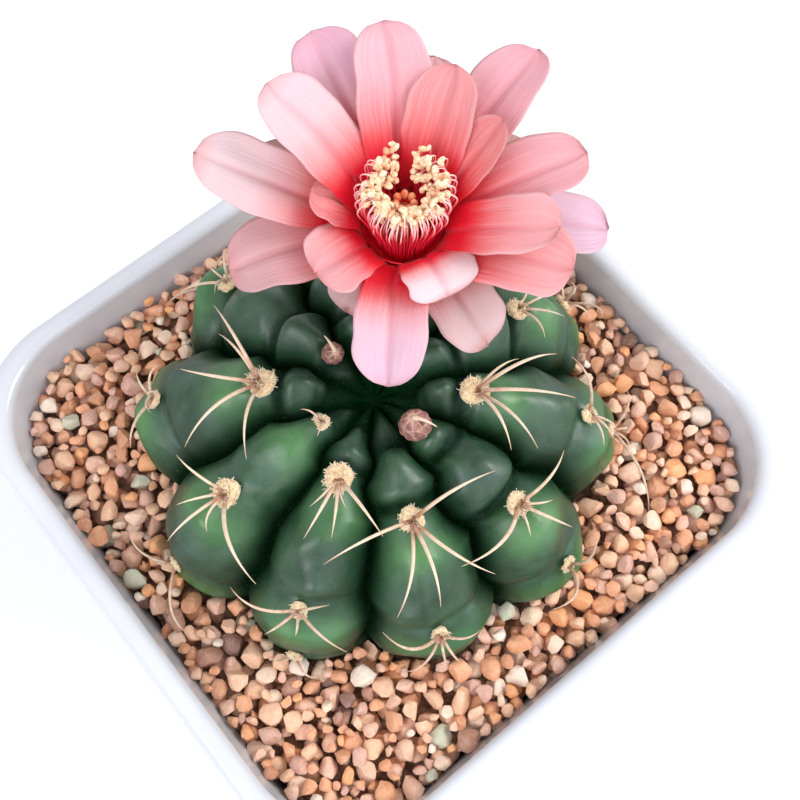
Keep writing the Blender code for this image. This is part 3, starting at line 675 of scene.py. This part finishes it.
def globe_frame(lon, polar):
    """Point of the globe with its downhill, counterclockwise and outward directions."""
    step = 1e-3
    down = unit(stem_globe(lon, polar + step) - stem_globe(lon, polar - step))
    around = np.stack([-np.sin(lon), np.cos(lon), np.zeros_like(lon)], axis=-1)
    return stem_globe(lon, polar), down, around, np.cross(down, around)


def tubercle_stops(areoles):
    """Polar angles where tubercles end: young ones at the tip, then one at each areole."""
    first = areoles[0]
    young = (first * 0.27, first * 0.56) if first > 40 else (first * 0.48,)
    return (0.0, *young, *areoles, areoles[-1] + 34.0)


def tubercle_profile(polar, areoles):
    """Swelling and cross crease of a rib at polar angles in degrees, both from 0 to 1.

    Each tubercle swells quickly below its tip-side end, then sinks to what the next one
    starts from; old neighbours run into each other and young ones are set well apart.
    """
    swell, crease = np.zeros_like(polar), np.zeros_like(polar)
    stops = tubercle_stops(areoles)
    begin = 0.0
    for start, end in zip(stops[:-1], stops[1:]):
        share = np.clip((polar - start) / (end - start), 0, 1)
        inside = (polar >= start) & (polar < end)
        finish = YOUNG_NECK if end <= areoles[0] else OLD_NECK
        rise = begin + (1 - begin) * np.sin(np.pi / 2 * np.clip(share / 0.5, 0, 1)) ** 0.7
        sink = finish + (1 - finish) * np.cos(np.pi / 2 * np.clip(share / 0.5 - 1, 0, 1))
        swell = np.where(inside, np.where(share < 0.5, rise, sink), swell)
        begin = finish
    for place in stops[1:-1]:
        depth = 1.0 if place <= areoles[0] else OLD_CREASE
        crease = np.maximum(crease, depth * np.exp(-((polar - place + CREASE_SHIFT)
                                                     / CREASE_WIDTH) ** 2))
    return swell, crease


def stem_relief(lon, polar):
    """Push along the globe's normal, with the crest and crease shares and where a painted highlight
    lies on each chin.

    Across a rib the skin follows a flattened circle down to the grooves, which wander
    towards whichever neighbour is narrower there. Along a rib it swells just below each
    areole, sinks slowly to the next one and is creased across just above it.
    """
    degrees = np.degrees(polar)
    fade = 1 - ease((degrees - RIB_FADE[0]) / (RIB_FADE[1] - RIB_FADE[0]))
    shallow = 1 - LOW_SHALLOW * ease((degrees - 45) / 45)
    depth = GROOVE_DEPTH * np.sin(polar) ** 0.7 * shallow * ease((degrees - 2) / 11) * fade
    bulk = 0.55 + 0.45 * ease(degrees / 40)
    profiles = [tubercle_profile(degrees, areoles) for _, areoles in RIBS]
    crests = np.radians([rib[0] for rib in RIBS])
    gaps = (np.roll(crests, -1) - crests) % (2 * np.pi)
    push, crest_share, crease_share, chin_highlight_share = (np.zeros_like(polar) for _ in range(4))
    for i, (_, areoles) in enumerate(RIBS):
        swell, crease = profiles[i]
        before, after = profiles[i - 1][0], profiles[(i + 1) % len(RIBS)][0]
        left = gaps[i - 1] * (0.5 + WANDER * (swell - before))
        right = gaps[i] * (0.5 + WANDER * (swell - after))
        turn = (lon - crests[i] + np.pi) % (2 * np.pi) - np.pi
        on_rib = (turn >= -left) & (turn < right)
        across = np.clip(np.abs(turn) / np.where(turn < 0, left, right), 0, 1)
        crest = (1 - across ** (1.9 + 0.6 * (1 - swell))) ** 0.75
        value = -depth * (1 - crest) + fade * bulk * (CHIN * swell * crest
                                                      - CREASE * crease * (1 - across ** 4))
        # Painted highlight: a band just below each areole, over the chin, where bright green is
        # painted.
        chin_highlight_place = sum(np.exp(-((degrees - place - 9.0) / 7.0) ** 2) for place in areoles)
        ridge = sum(np.clip(1 - np.abs(degrees - place - 11.0) / 9.0, 0, 1)
                    for place in areoles if place > 40)
        value = value + CHIN_RIDGE * ridge * (1 - across ** 2) * fade
        push = np.where(on_rib, value, push)
        crest_share = np.where(on_rib, crest, crest_share)
        crease_share = np.where(on_rib, crease, crease_share)
        chin_highlight_share = np.where(on_rib, chin_highlight_place * (1 - ease((across - 0.3) / 0.6)), chin_highlight_share)
    return push, crest_share, crease_share, np.clip(chin_highlight_share, 0, 1)


def stem_skin(lon, polar, out=0.0):
    point, _, _, normal = globe_frame(lon, polar)
    return point + normal * (stem_relief(lon, polar)[0] + out)[..., None]


def make_stem(finish):
    """The stem's skin on a grid of longitudes and polar angles, packed towards the tip."""
    lon = np.linspace(0, 2 * np.pi, STEM_TURNS, endpoint=False)[None, :]
    share = np.linspace(1, 0, STEM_RINGS)[:, None]
    polar = np.radians(STEM_START + STEM_SPAN * share ** 1.1)
    lon, polar = np.broadcast_arrays(lon, polar)
    push, crest, crease, chin_highlight = stem_relief(lon, polar)
    point, _, _, normal = globe_frame(lon, polar)
    fine = ripple(point, 10.0, 5) * 0.7 + ripple(point, 5.0, 6) * 0.2
    rings = point + normal * (push + fine * crest)[..., None]
    points, faces = closed_grid(rings)
    pad = [0.5, 0.0]
    # Painted shade: height is the crest share, lowered in the cross creases and to nothing in the
    # tip's dimple; the skin is painted near black where it is low.
    dimple_shade = ease((np.degrees(polar) - 3) / 14)
    values = {"height": np.append(crest * (1 - 0.85 * crease) * dimple_shade, pad),
              # Where the bright green of the painted chin highlight goes.
              "chin_highlight": np.append(chin_highlight, pad),
              # Where the painted grey-blue sheen goes: the crests, but not the tip's dimple.
              "crest": np.append(ease(crest * 1.4 - 0.4) * dimple_shade, pad)}
    stem = new_piece("stem", points, faces, finish, values)
    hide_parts("cactus_stem")


# ================================================================== areoles

def seat(rib, polar, aside=0.0):
    """Skin point at a rib's crest or aside from it by some degrees of longitude, with its
    downhill, counterclockwise and outward ways."""
    lon = np.array([np.radians(RIBS[rib][0] + aside)])
    angle = np.array([np.radians(polar)])
    _, down, around, normal = globe_frame(lon, angle)
    return stem_skin(lon, angle)[0], down[0], around[0], normal[0]


def make_wool(number, base, radius, finish):
    """A felted cushion: a dented mound, and hundreds of short curled hairs round it.

    The mound is a flattened ball with a dent in its middle, roughened by ripples.
    Each hair leaves it along the mound's normal and curls by a random turn.
    """
    point, down, around, normal = base
    polar = np.linspace(np.pi * 0.62, 0.05, 14)[:, None]
    turn = np.linspace(0, 2 * np.pi, 28, endpoint=False)[None, :]
    out = np.sin(polar) * radius * (1 + 0.06 * np.sin(3 * turn + number))
    dent = 0.55 * radius * np.exp(-(out / (0.42 * radius)) ** 2)
    high = np.maximum(np.cos(polar) * radius * 0.62, -0.3) - dent
    mound = (point + out[..., None] * (np.cos(turn)[..., None] * down * 1.12
                                       + np.sin(turn)[..., None] * around)
             + (high[..., None] + 0.35) * normal)
    mound = mound + normal * (ripple(mound, 0.9, number)[..., None] * 0.14)
    points, faces = closed_grid(mound)
    cushion = new_piece(f"wool_{number:02d}", points, faces, finish,
                        {"along": np.full(len(points), 0.15)})
    source = np.random.default_rng(WOOL_SEED + number)
    bearing = source.uniform(0, 2 * np.pi, HAIRS)
    spread = radius * source.uniform(0.35, 1.0, HAIRS)
    root = (point + (spread * np.cos(bearing))[:, None] * down * 1.12
            + (spread * np.sin(bearing))[:, None] * around
            + (0.35 + 0.5 * radius * (1 - (spread / radius) ** 2))[:, None] * normal)
    aim = unit(normal * 0.9 + (np.cos(bearing)[:, None] * down
                               + np.sin(bearing)[:, None] * around) * (spread / radius)[:, None])
    aim = unit(aim + source.normal(scale=0.35, size=(HAIRS, 3)))
    curl = unit(source.normal(size=(HAIRS, 3))) * 0.35
    share = np.linspace(0, 1, HAIR_STEPS)[None, :, None]
    length = (radius * source.uniform(0.12, 0.36, HAIRS))[:, None, None]
    paths = root[:, None] + length * (aim[:, None] * share + curl[:, None] * share ** 2)
    radii = np.repeat(np.linspace(0.075, 0.03, HAIR_STEPS)[None], HAIRS, axis=0)
    points, faces, along = tubes(paths, radii, HAIR_SIDES)
    hairs = new_piece(f"wool_hairs_{number:02d}", points, faces, finish,
                      {"along": 0.3 + 0.7 * along})
    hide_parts(f"areole_{number:02d}")


def make_spines(number, base, radius, age, spines, finish):
    """Tapered curved spines: each rises from the skin, bows outwards and bends a little aside.

    The bow and the sideways bend are parabolas, zero at both ends of the spine.
    """
    point, down, around, normal = base
    source = np.random.default_rng(SPINE_SEED + number)
    bearing = np.radians([s[0] for s in spines])
    length = np.array([float(s[1]) for s in spines])
    way = np.cos(bearing)[:, None] * down + np.sin(bearing)[:, None] * around
    side = np.cross(normal, way)
    bend = source.uniform(-0.07, 0.07, len(spines))
    arch = SPINE_ARCH * source.uniform(0.6, 1.5, len(spines))
    lift = np.radians(SPINE_LIFT)
    share = np.linspace(0, 1, SPINE_STEPS)[None, :, None]
    root = point + normal * 0.7 + way * 0.25 * radius
    rise = np.sin(lift) * share + (arch[:, None, None] * 4 * share * (1 - share))
    paths = root[:, None] + length[:, None, None] * (
        np.cos(lift) * share * way[:, None] + rise * normal
        + (bend[:, None, None] * 4 * share * (1 - share)) * side[:, None])
    taper = np.interp(np.linspace(0, 1, SPINE_STEPS), [0, 0.06, 0.5, 1], [1.35, 1.0, 0.8, 0.12])
    thick = SPINE_RADIUS * (0.62 + 0.035 * length) * source.uniform(0.9, 1.1, len(spines))
    points, faces, along = tubes(paths, thick[:, None] * taper, SPINE_SIDES, 0.8)
    piece = new_piece(f"spines_{number:02d}", points, faces, finish,
                      {"along": along, "age": np.full(len(points), age)})


# ================================================================== flower

def funnel_radius(z):
    """Outer radius of the flower's funnel at height z under its rim."""
    return 2.5 + 2.9 * ease((np.asarray(z) + 9.0) / 8.6) ** 0.9


def make_funnel(finish):
    """Tube from the crown that opens into the crimson funnel."""
    point, _, _, normal = seat(TUBE_RIB, TUBE_POLAR)
    turn = np.linspace(0, 2 * np.pi, 48, endpoint=False)
    share = np.linspace(0, 1, 14)[:, None]
    foot = point + normal * 0.4
    end = THROAT - 9.0 * UP
    middle = foot + (end - foot) * share + normal * 0.9 * np.sin(np.pi * share)
    axis = unit(normal * (1 - share) + UP * share)
    across = unit(np.cross([0.0, 1.0, 0.0], axis))
    other = np.cross(axis, across)
    neck_radius = np.interp(share[:, 0], [0, 0.12, 0.4, 1], [1.3, 2.2, 2.6, 2.5])
    neck = middle[:, None] + neck_radius[:, None, None] * (
        np.cos(turn)[:, None] * across[:, None] + np.sin(turn)[:, None] * other[:, None])
    high = np.linspace(-8.6, -1.9, 16)
    deep = np.linspace(-1.85, -7.6, 16)
    wall = np.interp(deep, [-7.6, -4.0, -1.85], [0.7, 0.5, 0.12])
    radii = np.concatenate([funnel_radius(high), funnel_radius(deep) - wall])
    level = np.concatenate([high, deep])
    cup = THROAT + np.stack([radii[:, None] * np.cos(turn), radii[:, None] * np.sin(turn),
                             np.repeat(level[:, None], len(turn), axis=1)], axis=-1)
    rings = np.concatenate([neck, cup])
    points, faces = closed_grid(rings)
    inside = np.repeat(np.arange(len(rings)) >= len(neck) + len(high), len(turn)).astype(float)
    along = np.repeat(np.concatenate([np.zeros(len(neck)), (level + 9) / 9]), len(turn))
    funnel = new_piece("flower_funnel", points, faces, finish,
                       {"inside": np.append(inside, [0, 1]), "along": np.append(along, [0, 0])})
    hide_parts("flower_tube")


def tepal_width(share, point):
    """Width of a tepal along its length: narrow foot, broad body, blunt or pointed end."""
    foot = 0.70 + 0.30 * ease(share / 0.5)
    fall = np.clip((share - 0.70) / 0.30, 0, 1)
    blunt = np.sqrt(np.clip(1 - fall ** 3.0, 0, 1))
    sharp = (1 - fall ** 1.6) ** 0.75
    return foot * (blunt * (1 - point) + sharp * point)


def make_tepal(number, row, finish):
    """A bent leaf of two skins whose midline turns evenly from its first slope to its last.

    Across, it is a shallow trough of depth cup times its half width with a soft fold along
    the midrib; its edge waves a little and it twists evenly towards the tip.
    """
    whorl, bearing, length, width, slope, end_slope, cup, twist, point, pale, lilac, dusk = row
    source = np.random.default_rng(TEPAL_SEED + number)
    share = np.linspace(0, 1, TEPAL_ROWS)
    angle = slope + (end_slope - slope) * share ** 1.5
    angle = np.radians(angle + (FOOT_SLOPE - angle) * np.exp(-share * length / FOOT_BEND))
    step = (length + FOOT_BEND) / (TEPAL_ROWS - 1)
    mid_angle = (angle[1:] + angle[:-1]) / 2
    along = np.cumsum(np.append(0, np.cos(mid_angle))) * step
    climb = np.cumsum(np.append(0, np.sin(mid_angle))) * step
    start = -0.2 - WHORL_DROP[whorl] - FOOT_DROP
    away = np.array([np.cos(np.radians(bearing)), np.sin(np.radians(bearing)), 0.0])
    side = np.array([-away[1], away[0], 0.0])
    offset = funnel_radius(start + FOOT_DROP) - 0.25
    sway = 0.5 * source.uniform(-1, 1) * np.sin(np.pi * share)
    midline = (THROAT + (offset + along)[:, None] * away + sway[:, None] * side
               + (start + climb)[:, None] * UP)
    normal = -np.sin(angle)[:, None] * away + np.cos(angle)[:, None] * UP
    roll = np.radians(twist) * share
    tangent = np.cos(roll)[:, None] * side + np.sin(roll)[:, None] * normal
    normal = -np.sin(roll)[:, None] * side + np.cos(roll)[:, None] * normal
    across = np.linspace(-1, 1, TEPAL_COLUMNS)
    half = np.maximum(width / 2 * tepal_width(share, point), 0.06)
    notch = 0.5 * (1 - point) * np.exp(-(across / 0.25) ** 2)
    phase = source.uniform(0, 2 * np.pi, 3)
    fold = 0.5 * np.abs(across) + 0.5 * across ** 2
    rise = half[:, None] * (cup * fold - 0.10 * np.exp(-(across / 0.12) ** 2))
    edge = np.abs(across) ** 3 * ease(share / 0.5)[:, None]
    rise = rise + 0.28 * edge * np.sin(9 * share[:, None] + phase[0] + 1.2 * np.sign(across))
    rise = rise + 0.10 * np.sin(5 * across + 7 * share[:, None] + phase[1])
    stretch = half[:, None] * across * (
        1 + 0.05 * np.sin(6 * share[:, None] + phase[2] + 1.5 * np.sign(across))
        + 0.02 * np.sin(23 * share[:, None] + phase[0] + 2.0 * np.sign(across)))
    pull = -notch * ease((share[:, None] - 0.85) / 0.15)
    grid = (midline[:, None] + stretch[..., None] * tangent[:, None]
            + rise[..., None] * normal[:, None] + pull[..., None] * away)
    thin = TEPAL_THICKNESS * (1 - 0.6 * np.abs(across) ** 4) * (1 - 0.5 * share[:, None] ** 4)
    under = grid - thin[..., None] * normal[:, None]
    rings = np.concatenate([grid, under[:, ::-1]], axis=1)
    faces_points, faces = closed_grid(rings)
    rows = np.repeat(share[:, None], 2 * TEPAL_COLUMNS, axis=1)
    columns = np.repeat(np.append(across, across[::-1])[None], TEPAL_ROWS, axis=0)
    upper = np.repeat(np.append(np.ones(TEPAL_COLUMNS), np.zeros(TEPAL_COLUMNS))[None],
                      TEPAL_ROWS, axis=0)
    values = {"along": np.append(rows, [0, 1]), "across": np.append(columns, [0, 0]),
              "inside": np.append(upper, [1, 1])}
    total = len(faces_points)
    values |= {"pale": np.full(total, pale), "lilac": np.full(total, lilac),
               "dusk": np.full(total, dusk), "seed": np.full(total, number / 7)}
    piece = new_piece(f"petal_{number:02d}", faces_points, faces, finish, values)
    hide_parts(f"tepal_{number:02d}")


def tilt_flower(points):
    """Lean points round the throat by the flower's tilt, further out the higher they are.

    A point at height h above the funnel's foot moves by h times the tilt's tangent.
    """
    height = np.maximum(points[..., 2:] - THROAT[2] + 3.5, 0)
    lean = np.radians(FLOWER_LEAN)
    way = np.array([np.cos(lean), np.sin(lean), 0.0])
    return points + height * np.tan(np.radians(FLOWER_TILT)) * way


def make_stamens(thread_finish, anther_finish):
    """Threads that rise from the funnel's wall and hook inwards under lumpy anthers.

    They stand in three circles, with a gap at the back. Each path runs from its foot on the
    wall to its anther and bows outwards by a sine between them.
    """
    source = np.random.default_rng(STAMEN_SEED)
    gap = np.radians(STAMEN_GAP)
    turn = np.linspace(gap, 2 * np.pi - gap, STAMENS) + source.normal(0, 0.05, STAMENS)
    turn = turn + np.radians(FLOWER_LEAN + 8)
    layer = np.arange(STAMENS) % 3
    top_radius = 4.7 - 0.75 * layer + source.normal(0, 0.35, STAMENS)
    top_height = 4.6 + source.normal(0, 0.6, STAMENS) - 0.6 * layer
    foot_height = -3.4 + 1.0 * (layer == 0) + source.normal(0, 0.3, STAMENS)
    foot_radius = funnel_radius(foot_height) - 0.9
    share = np.linspace(0, 1, STAMEN_STEPS)[None]
    bow = 1.7 * np.sin(np.pi * share ** 1.5)
    radius = foot_radius[:, None] + (top_radius - foot_radius)[:, None] * share ** 1.5 + bow
    lean = turn[:, None] + source.normal(0, 0.05, STAMENS)[:, None] * share
    climb = np.sin(share * np.pi / 2) ** 0.9
    height = foot_height[:, None] + (top_height - foot_height)[:, None] * climb
    paths = THROAT + np.stack([radius * np.cos(lean), radius * np.sin(lean), height], axis=-1)
    paths = tilt_flower(paths)
    thick = np.repeat(np.linspace(0.13, 0.085, STAMEN_STEPS)[None], STAMENS, axis=0)
    points, faces, along = tubes(paths, thick, 5)
    threads = new_piece("stamen_threads", points, faces, thread_finish, {"along": along})
    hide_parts("stamen_ring")
    ball_points, ball_faces = ball(5, 8)
    balls = STAMENS * LOBES
    centres = np.repeat(paths[:, -1], LOBES, axis=0) + source.normal(0, 0.16, (balls, 3))
    size = source.uniform(0.30, 0.50, (balls, 1, 3)) * [0.8, 1.0, 1.6]
    spin = turns_of(unit(source.normal(size=(balls, 3))),
                    source.uniform(0, np.pi, balls))
    places = np.einsum("nij,nkj->nki", spin, ball_points[None] * size) + centres[:, None]
    points, faces = repeat_shape(ball_points, ball_faces, places)
    anthers = new_piece("anthers", points, faces, anther_finish)


def make_pistil(finish):
    """Style with a head of small round stigma lobes."""
    steps = 12
    share = np.linspace(0, 1, steps)
    path = tilt_flower(THROAT + np.stack([0 * share, 0 * share, -6.6 + 8.0 * share], axis=-1))
    points, faces, _ = tubes(path[None], np.full((1, steps), 0.7), 16)
    style = new_piece("style", points, faces, finish)
    ball_points, ball_faces = ball(8, 12)
    turn = np.linspace(0, 2 * np.pi, 7, endpoint=False)
    centres = path[-1] + np.stack([1.15 * np.cos(turn), 1.15 * np.sin(turn), 0.8 + 0 * turn], -1)
    places = centres[:, None] + ball_points[None] * [0.5, 0.5, 0.8]
    points, faces = repeat_shape(ball_points, ball_faces, places)
    lobes = new_piece("stigma_lobes", points, faces, finish)
    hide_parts("pistil")


def make_bud(number, row, finish, horn_finish):
    """A bud as an egg wrapped in overlapping scales, with a dry hooked horn at its tip.

    The tiers of scales are staggered; each scale swells the egg towards its end and is
    parted from its neighbours by a pale seam. The horn leaves the tip and bends downhill.
    """
    rib, polar, aside, radius, height, horn_bearing, horn_length = row
    point, down, around, normal = seat(rib, polar, aside)
    angle = np.linspace(np.pi * 0.93, 0.06, 60)[:, None]
    turn = np.linspace(0, 2 * np.pi, 72, endpoint=False)[None]
    level = (1 - np.cos(np.pi - angle)) / 2
    tier = np.floor(level * BUD_TIERS)
    down_scale = level * BUD_TIERS - tier
    across_scale = 2 * ((turn / (2 * np.pi) * BUD_SCALES + 0.5 * (tier % 2)) % 1.0) - 1
    bump = np.sqrt(np.clip(1 - 0.9 * across_scale ** 2, 0, 1)) * down_scale ** 0.6
    out = radius * np.sin(angle) * (0.92 + 0.18 * bump)
    egg = (point + normal * (0.3 + height * (1 - level))[..., None]
           + out[..., None] * (np.cos(turn)[..., None] * down + np.sin(turn)[..., None] * around))
    points, faces = closed_grid(egg)
    edge = ease((0.45 - bump) / 0.3)
    bud = new_piece(f"scaly_bud_{number}", points, faces, finish,
                    {"edge": np.append(edge, [0, 1])})
    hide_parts(f"bud_{number}")
    share = np.linspace(0, 1, 12)[:, None]
    aim = np.radians(horn_bearing)
    way = np.cos(aim) * down + np.sin(aim) * around
    horn = (point + normal * (height + 0.1) + horn_length * share * (0.85 * way + 0.35 * normal)
            - normal * horn_length * 0.5 * share ** 2)
    points, faces, along = tubes(horn[None], np.linspace(0.34, 0.07, 12)[None], 8)
    tip = new_piece(f"bud_horn_{number}", points, faces, horn_finish,
                    {"along": 0.25 + 0.6 * along, "age": np.full(len(points), 0.25)})


# ================================================================== grit

def stem_outline(turn):
    """Distance of the stem's skin from its centre at the grit's height, by longitude."""
    ring = stem_skin(turn, np.full(len(turn), np.radians(99.0)))
    return np.hypot(ring[:, 0] - STEM_CENTRE[0], ring[:, 1] - STEM_CENTRE[1])


def settle_stones():
    """Drop stones one by one into the space round the stem.

    A height map holds how high the heap is. Each stone tries a few places and stays at the
    lowest one, where its underside first meets the heap; the heap then grows by its top.
    """
    cell = HEAP_CELL
    reach = np.arange(-42, 42 + cell, cell)
    x, y = np.meshgrid(reach, reach, indexing="ij")
    half = inner_half(GRAVEL_TOP) - 0.2
    radius = half * CORNER_SHARE
    outside = np.hypot(np.maximum(np.abs(x) - half + radius, 0),
                       np.maximum(np.abs(y) - half + radius, 0)) - radius
    turns = np.linspace(0, 2 * np.pi, 720, endpoint=False)
    outline = stem_outline(turns)
    bearing = np.arctan2(y - STEM_CENTRE[1], x - STEM_CENTRE[0]) % (2 * np.pi)
    from_stem = np.hypot(x - STEM_CENTRE[0], y - STEM_CENTRE[1]) - np.interp(
        bearing, turns, outline, period=2 * np.pi)
    blocked = (outside > 0) | (from_stem < 0)
    heap = np.where(blocked, 1e3, GRAVEL_TOP - HEAP_START)
    free = np.argwhere(~blocked)
    stones = []
    misses = 0
    while misses < MISSES:
        size = random.uniform(*STONE_RADII) * (SMALL_SIZE if random.random() < SMALL_SHARE else 1.0)
        thick = size * random.uniform(0.62, 0.85)
        cells = int(size / cell) + 1
        offsets = np.arange(-cells, cells + 1)
        inner = np.hypot(*np.meshgrid(offsets, offsets, indexing="ij")) * cell / size
        under = thick * np.sqrt(np.clip(1 - inner ** 2, 0, 1))
        best = None
        for i, j in free[random.integers(0, len(free), TRIES)]:
            if min(i, j) < cells or max(i, j) >= len(reach) - cells:
                continue
            patch = heap[i - cells:i + cells + 1, j - cells:j + cells + 1]
            landing = np.max(np.where(inner < 0.8, patch + under, -1e3))
            if best is None or landing < best[0]:
                best = (landing, i, j)
        if best is None or best[0] > GRAVEL_TOP + HEAP_OVER:
            misses += 1
            continue
        misses = 0
        z, i, j = best
        patch = heap[i - cells:i + cells + 1, j - cells:j + cells + 1]
        patch[:] = np.where(inner < 1, np.maximum(patch, z + under * 0.8), patch)
        stones.append((reach[i], reach[j], z, size, thick))
    return np.array(stones)


def make_grit(finish):
    """Angular stones: balls of 80 faces squeezed, cut flat by random planes and turned.

    A cut moves every point beyond a plane straight back onto it.
    """
    stones = settle_stones()
    bpy.ops.mesh.primitive_ico_sphere_add(subdivisions=2, radius=1.0)
    seed_ball = bpy.context.object
    shape = np.array([v.co[:] for v in seed_ball.data.vertices])
    sides = np.array([p.vertices[:] for p in seed_ball.data.polygons])
    bpy.data.objects.remove(seed_ball)
    for start in range(0, len(stones), STONES_PER_PIECE):
        batch = stones[start:start + STONES_PER_PIECE]
        count = len(batch)
        cut_shape = np.repeat(shape[None], count, axis=0)
        for _ in range(STONE_CUTS):
            plane = unit(random.normal(size=(count, 1, 3)))
            beyond = (cut_shape * plane).sum(axis=-1) - random.uniform(0.5, 0.86, (count, 1))
            cut_shape = cut_shape - np.maximum(beyond, 0)[..., None] * plane
        long = batch[:, 3]
        size = np.stack([long, long * random.uniform(0.7, 1.0, count), batch[:, 4]], axis=-1)
        local = cut_shape * size[:, None] * 1.12
        tilt = turns_of(unit(random.normal(size=(count, 3)) * [1, 1, 0.2]),
                        random.normal(0, 0.35, count))
        spin = turns_of(np.tile(UP, (count, 1)), random.uniform(0, 2 * np.pi, count))
        places = np.einsum("nij,nkj->nki", tilt @ spin, local) + batch[:, None, :3]
        points, faces = repeat_shape(shape, [sides], places)
        tone = np.repeat(random.uniform(0, 1, count), len(shape))
        piece = new_piece(f"grit_{start // STONES_PER_PIECE + 1}", points, faces, finish,
                          {"tone": tone})
        piece.data.set_sharp_from_angle(angle=np.radians(38))
        if start == 0:
            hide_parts("gravel_bed")


def make_grit_bed(finish):
    """Dark crumbs between and under the stones, as a lumpy sheet with a flat underside.

    Its top follows ripples round the stem; the sheet runs from the stem to the pot's wall.
    """
    turn = np.linspace(0, 2 * np.pi, 300, endpoint=False)
    way = np.stack([np.cos(turn), np.sin(turn)], axis=-1)
    bottom = GRAVEL_TOP - CRUMB_BOTTOM
    inner = way * (stem_outline(turn) - 1.5)[:, None] + STEM_CENTRE
    outer = way * square_reach(turn, inner_half(bottom) - 0.2)[:, None]
    share = np.linspace(0, 1, 40)[:, None, None]
    flat = outer[None] + (inner - outer)[None] * share
    lumps = ripple(np.concatenate([flat, 0 * flat[..., :1]], -1), 3.0, 9) * 0.5
    top = np.concatenate([flat, (GRAVEL_TOP - CRUMB_TOP + lumps)[..., None]], axis=-1)
    under = np.concatenate([flat[::-1], np.full((*flat.shape[:2], 1), bottom)], axis=-1)
    rings = np.concatenate([top, under])
    faces = grid_faces(len(rings), rings.shape[1], closed_rows=True, closed_columns=True)
    piece = new_piece("grit_crumbs", rings.reshape(-1, 3), faces, finish)


# ================================================================== stage

def make_camera():
    """Camera at its distance from the aim, turned and raised by the named angles."""
    azimuth, elevation, roll = np.radians([CAMERA_TURN, CAMERA_RISE, CAMERA_ROLL])
    target = Vector((CAMERA_AIM[0] * MM, CAMERA_AIM[1] * MM, POT_HEIGHT * MM))
    back = Vector((np.sin(azimuth) * np.cos(elevation), -np.cos(azimuth) * np.cos(elevation),
                   np.sin(elevation)))
    data = bpy.data.cameras.new("camera")
    data.lens = LENS
    data.sensor_width = SENSOR
    data.clip_start = 0.01
    camera = bpy.data.objects.new("camera", data)
    bpy.context.scene.collection.objects.link(camera)
    turn = back.to_track_quat("Z", "Y").to_matrix().to_4x4() @ Matrix.Rotation(roll, 4, "Z")
    camera.matrix_world = Matrix.Translation(target + back * CAMERA_DISTANCE * MM) @ turn
    bpy.context.scene.camera = camera


def add_light(name, place, size, power, colour):
    """A soft round light at a place, turned to the object."""
    data = bpy.data.lights.new(name, "AREA")
    data.shape = "DISK"
    data.size = size
    data.energy = power
    data.color = colour
    light = bpy.data.objects.new(name, data)
    bpy.context.scene.collection.objects.link(light)
    light.location = place
    light.rotation_euler = (Vector(place) - Vector(LIGHT_AIM)).to_track_quat("Z", "Y").to_euler()


def make_stage():
    """White floor, four wide soft lights, and a sky that lights softly and looks white."""
    bpy.context.scene.view_settings.view_transform = "Standard"
    floor = new_floor()
    world = bpy.data.worlds.new("studio")
    bpy.context.scene.world = world
    world.use_nodes = True
    nodes, links = world.node_tree.nodes, world.node_tree.links
    sky = nodes["Background"]
    sky.inputs["Color"].default_value = SKY_COLOUR
    sky.inputs["Strength"].default_value = SKY_STRENGTH
    white = nodes.new("ShaderNodeBackground")
    white.inputs["Color"].default_value = WHITE
    path = nodes.new("ShaderNodeLightPath")
    chooser = nodes.new("ShaderNodeMixShader")
    links.new(path.outputs["Is Camera Ray"], chooser.inputs[0])
    links.new(sky.outputs[0], chooser.inputs[1])
    links.new(white.outputs[0], chooser.inputs[2])
    links.new(chooser.outputs[0], nodes["World Output"].inputs["Surface"])
    for light in LIGHTS:
        add_light(*light)


def new_floor():
    """Flat square sheet under the object."""
    half = FLOOR_EDGE
    mesh = bpy.data.meshes.new("floor")
    mesh.from_pydata([(-half, -half, 0), (half, -half, 0), (half, half, 0), (-half, half, 0)],
                     [], [(0, 1, 2, 3)])
    mesh.materials.append(floor_paper())
    floor = bpy.data.objects.new("floor", mesh)
    bpy.context.scene.collection.objects.link(floor)
    return floor


# ================================================================== assembly

make_camera()
make_stage()
make_pot(glaze())
soil_finish = soil()
soil_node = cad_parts["potting_soil"]
soil_node.data.materials.clear()
soil_node.data.materials.append(soil_finish)
make_grit_bed(soil_finish)
make_grit(stone())
make_stem(stem_skin_finish())

wool_finish, spine_finish = wool(), spine()
for number, (rib, place, radius, age, spines) in enumerate(AREOLES, start=1):
    base = seat(rib, RIBS[rib][1][place])
    make_wool(number, base, radius, wool_finish)
    make_spines(number, base, radius, age, spines, spine_finish)

bud_skin = bud_finish()
for number, bud in enumerate(BUDS, start=1):
    make_bud(number, bud, bud_skin, spine_finish)

make_funnel(funnel_finish())
petal_skin = tepal_finish()
for number, row in enumerate(TEPALS, start=1):
    make_tepal(number, row, petal_skin)
make_stamens(filament(), pollen("anther", (0.92, 0.48, 0.27), (0.98, 0.80, 0.56)))
make_pistil(pollen("stigma", (0.80, 0.16, 0.08), (0.93, 0.40, 0.20)))
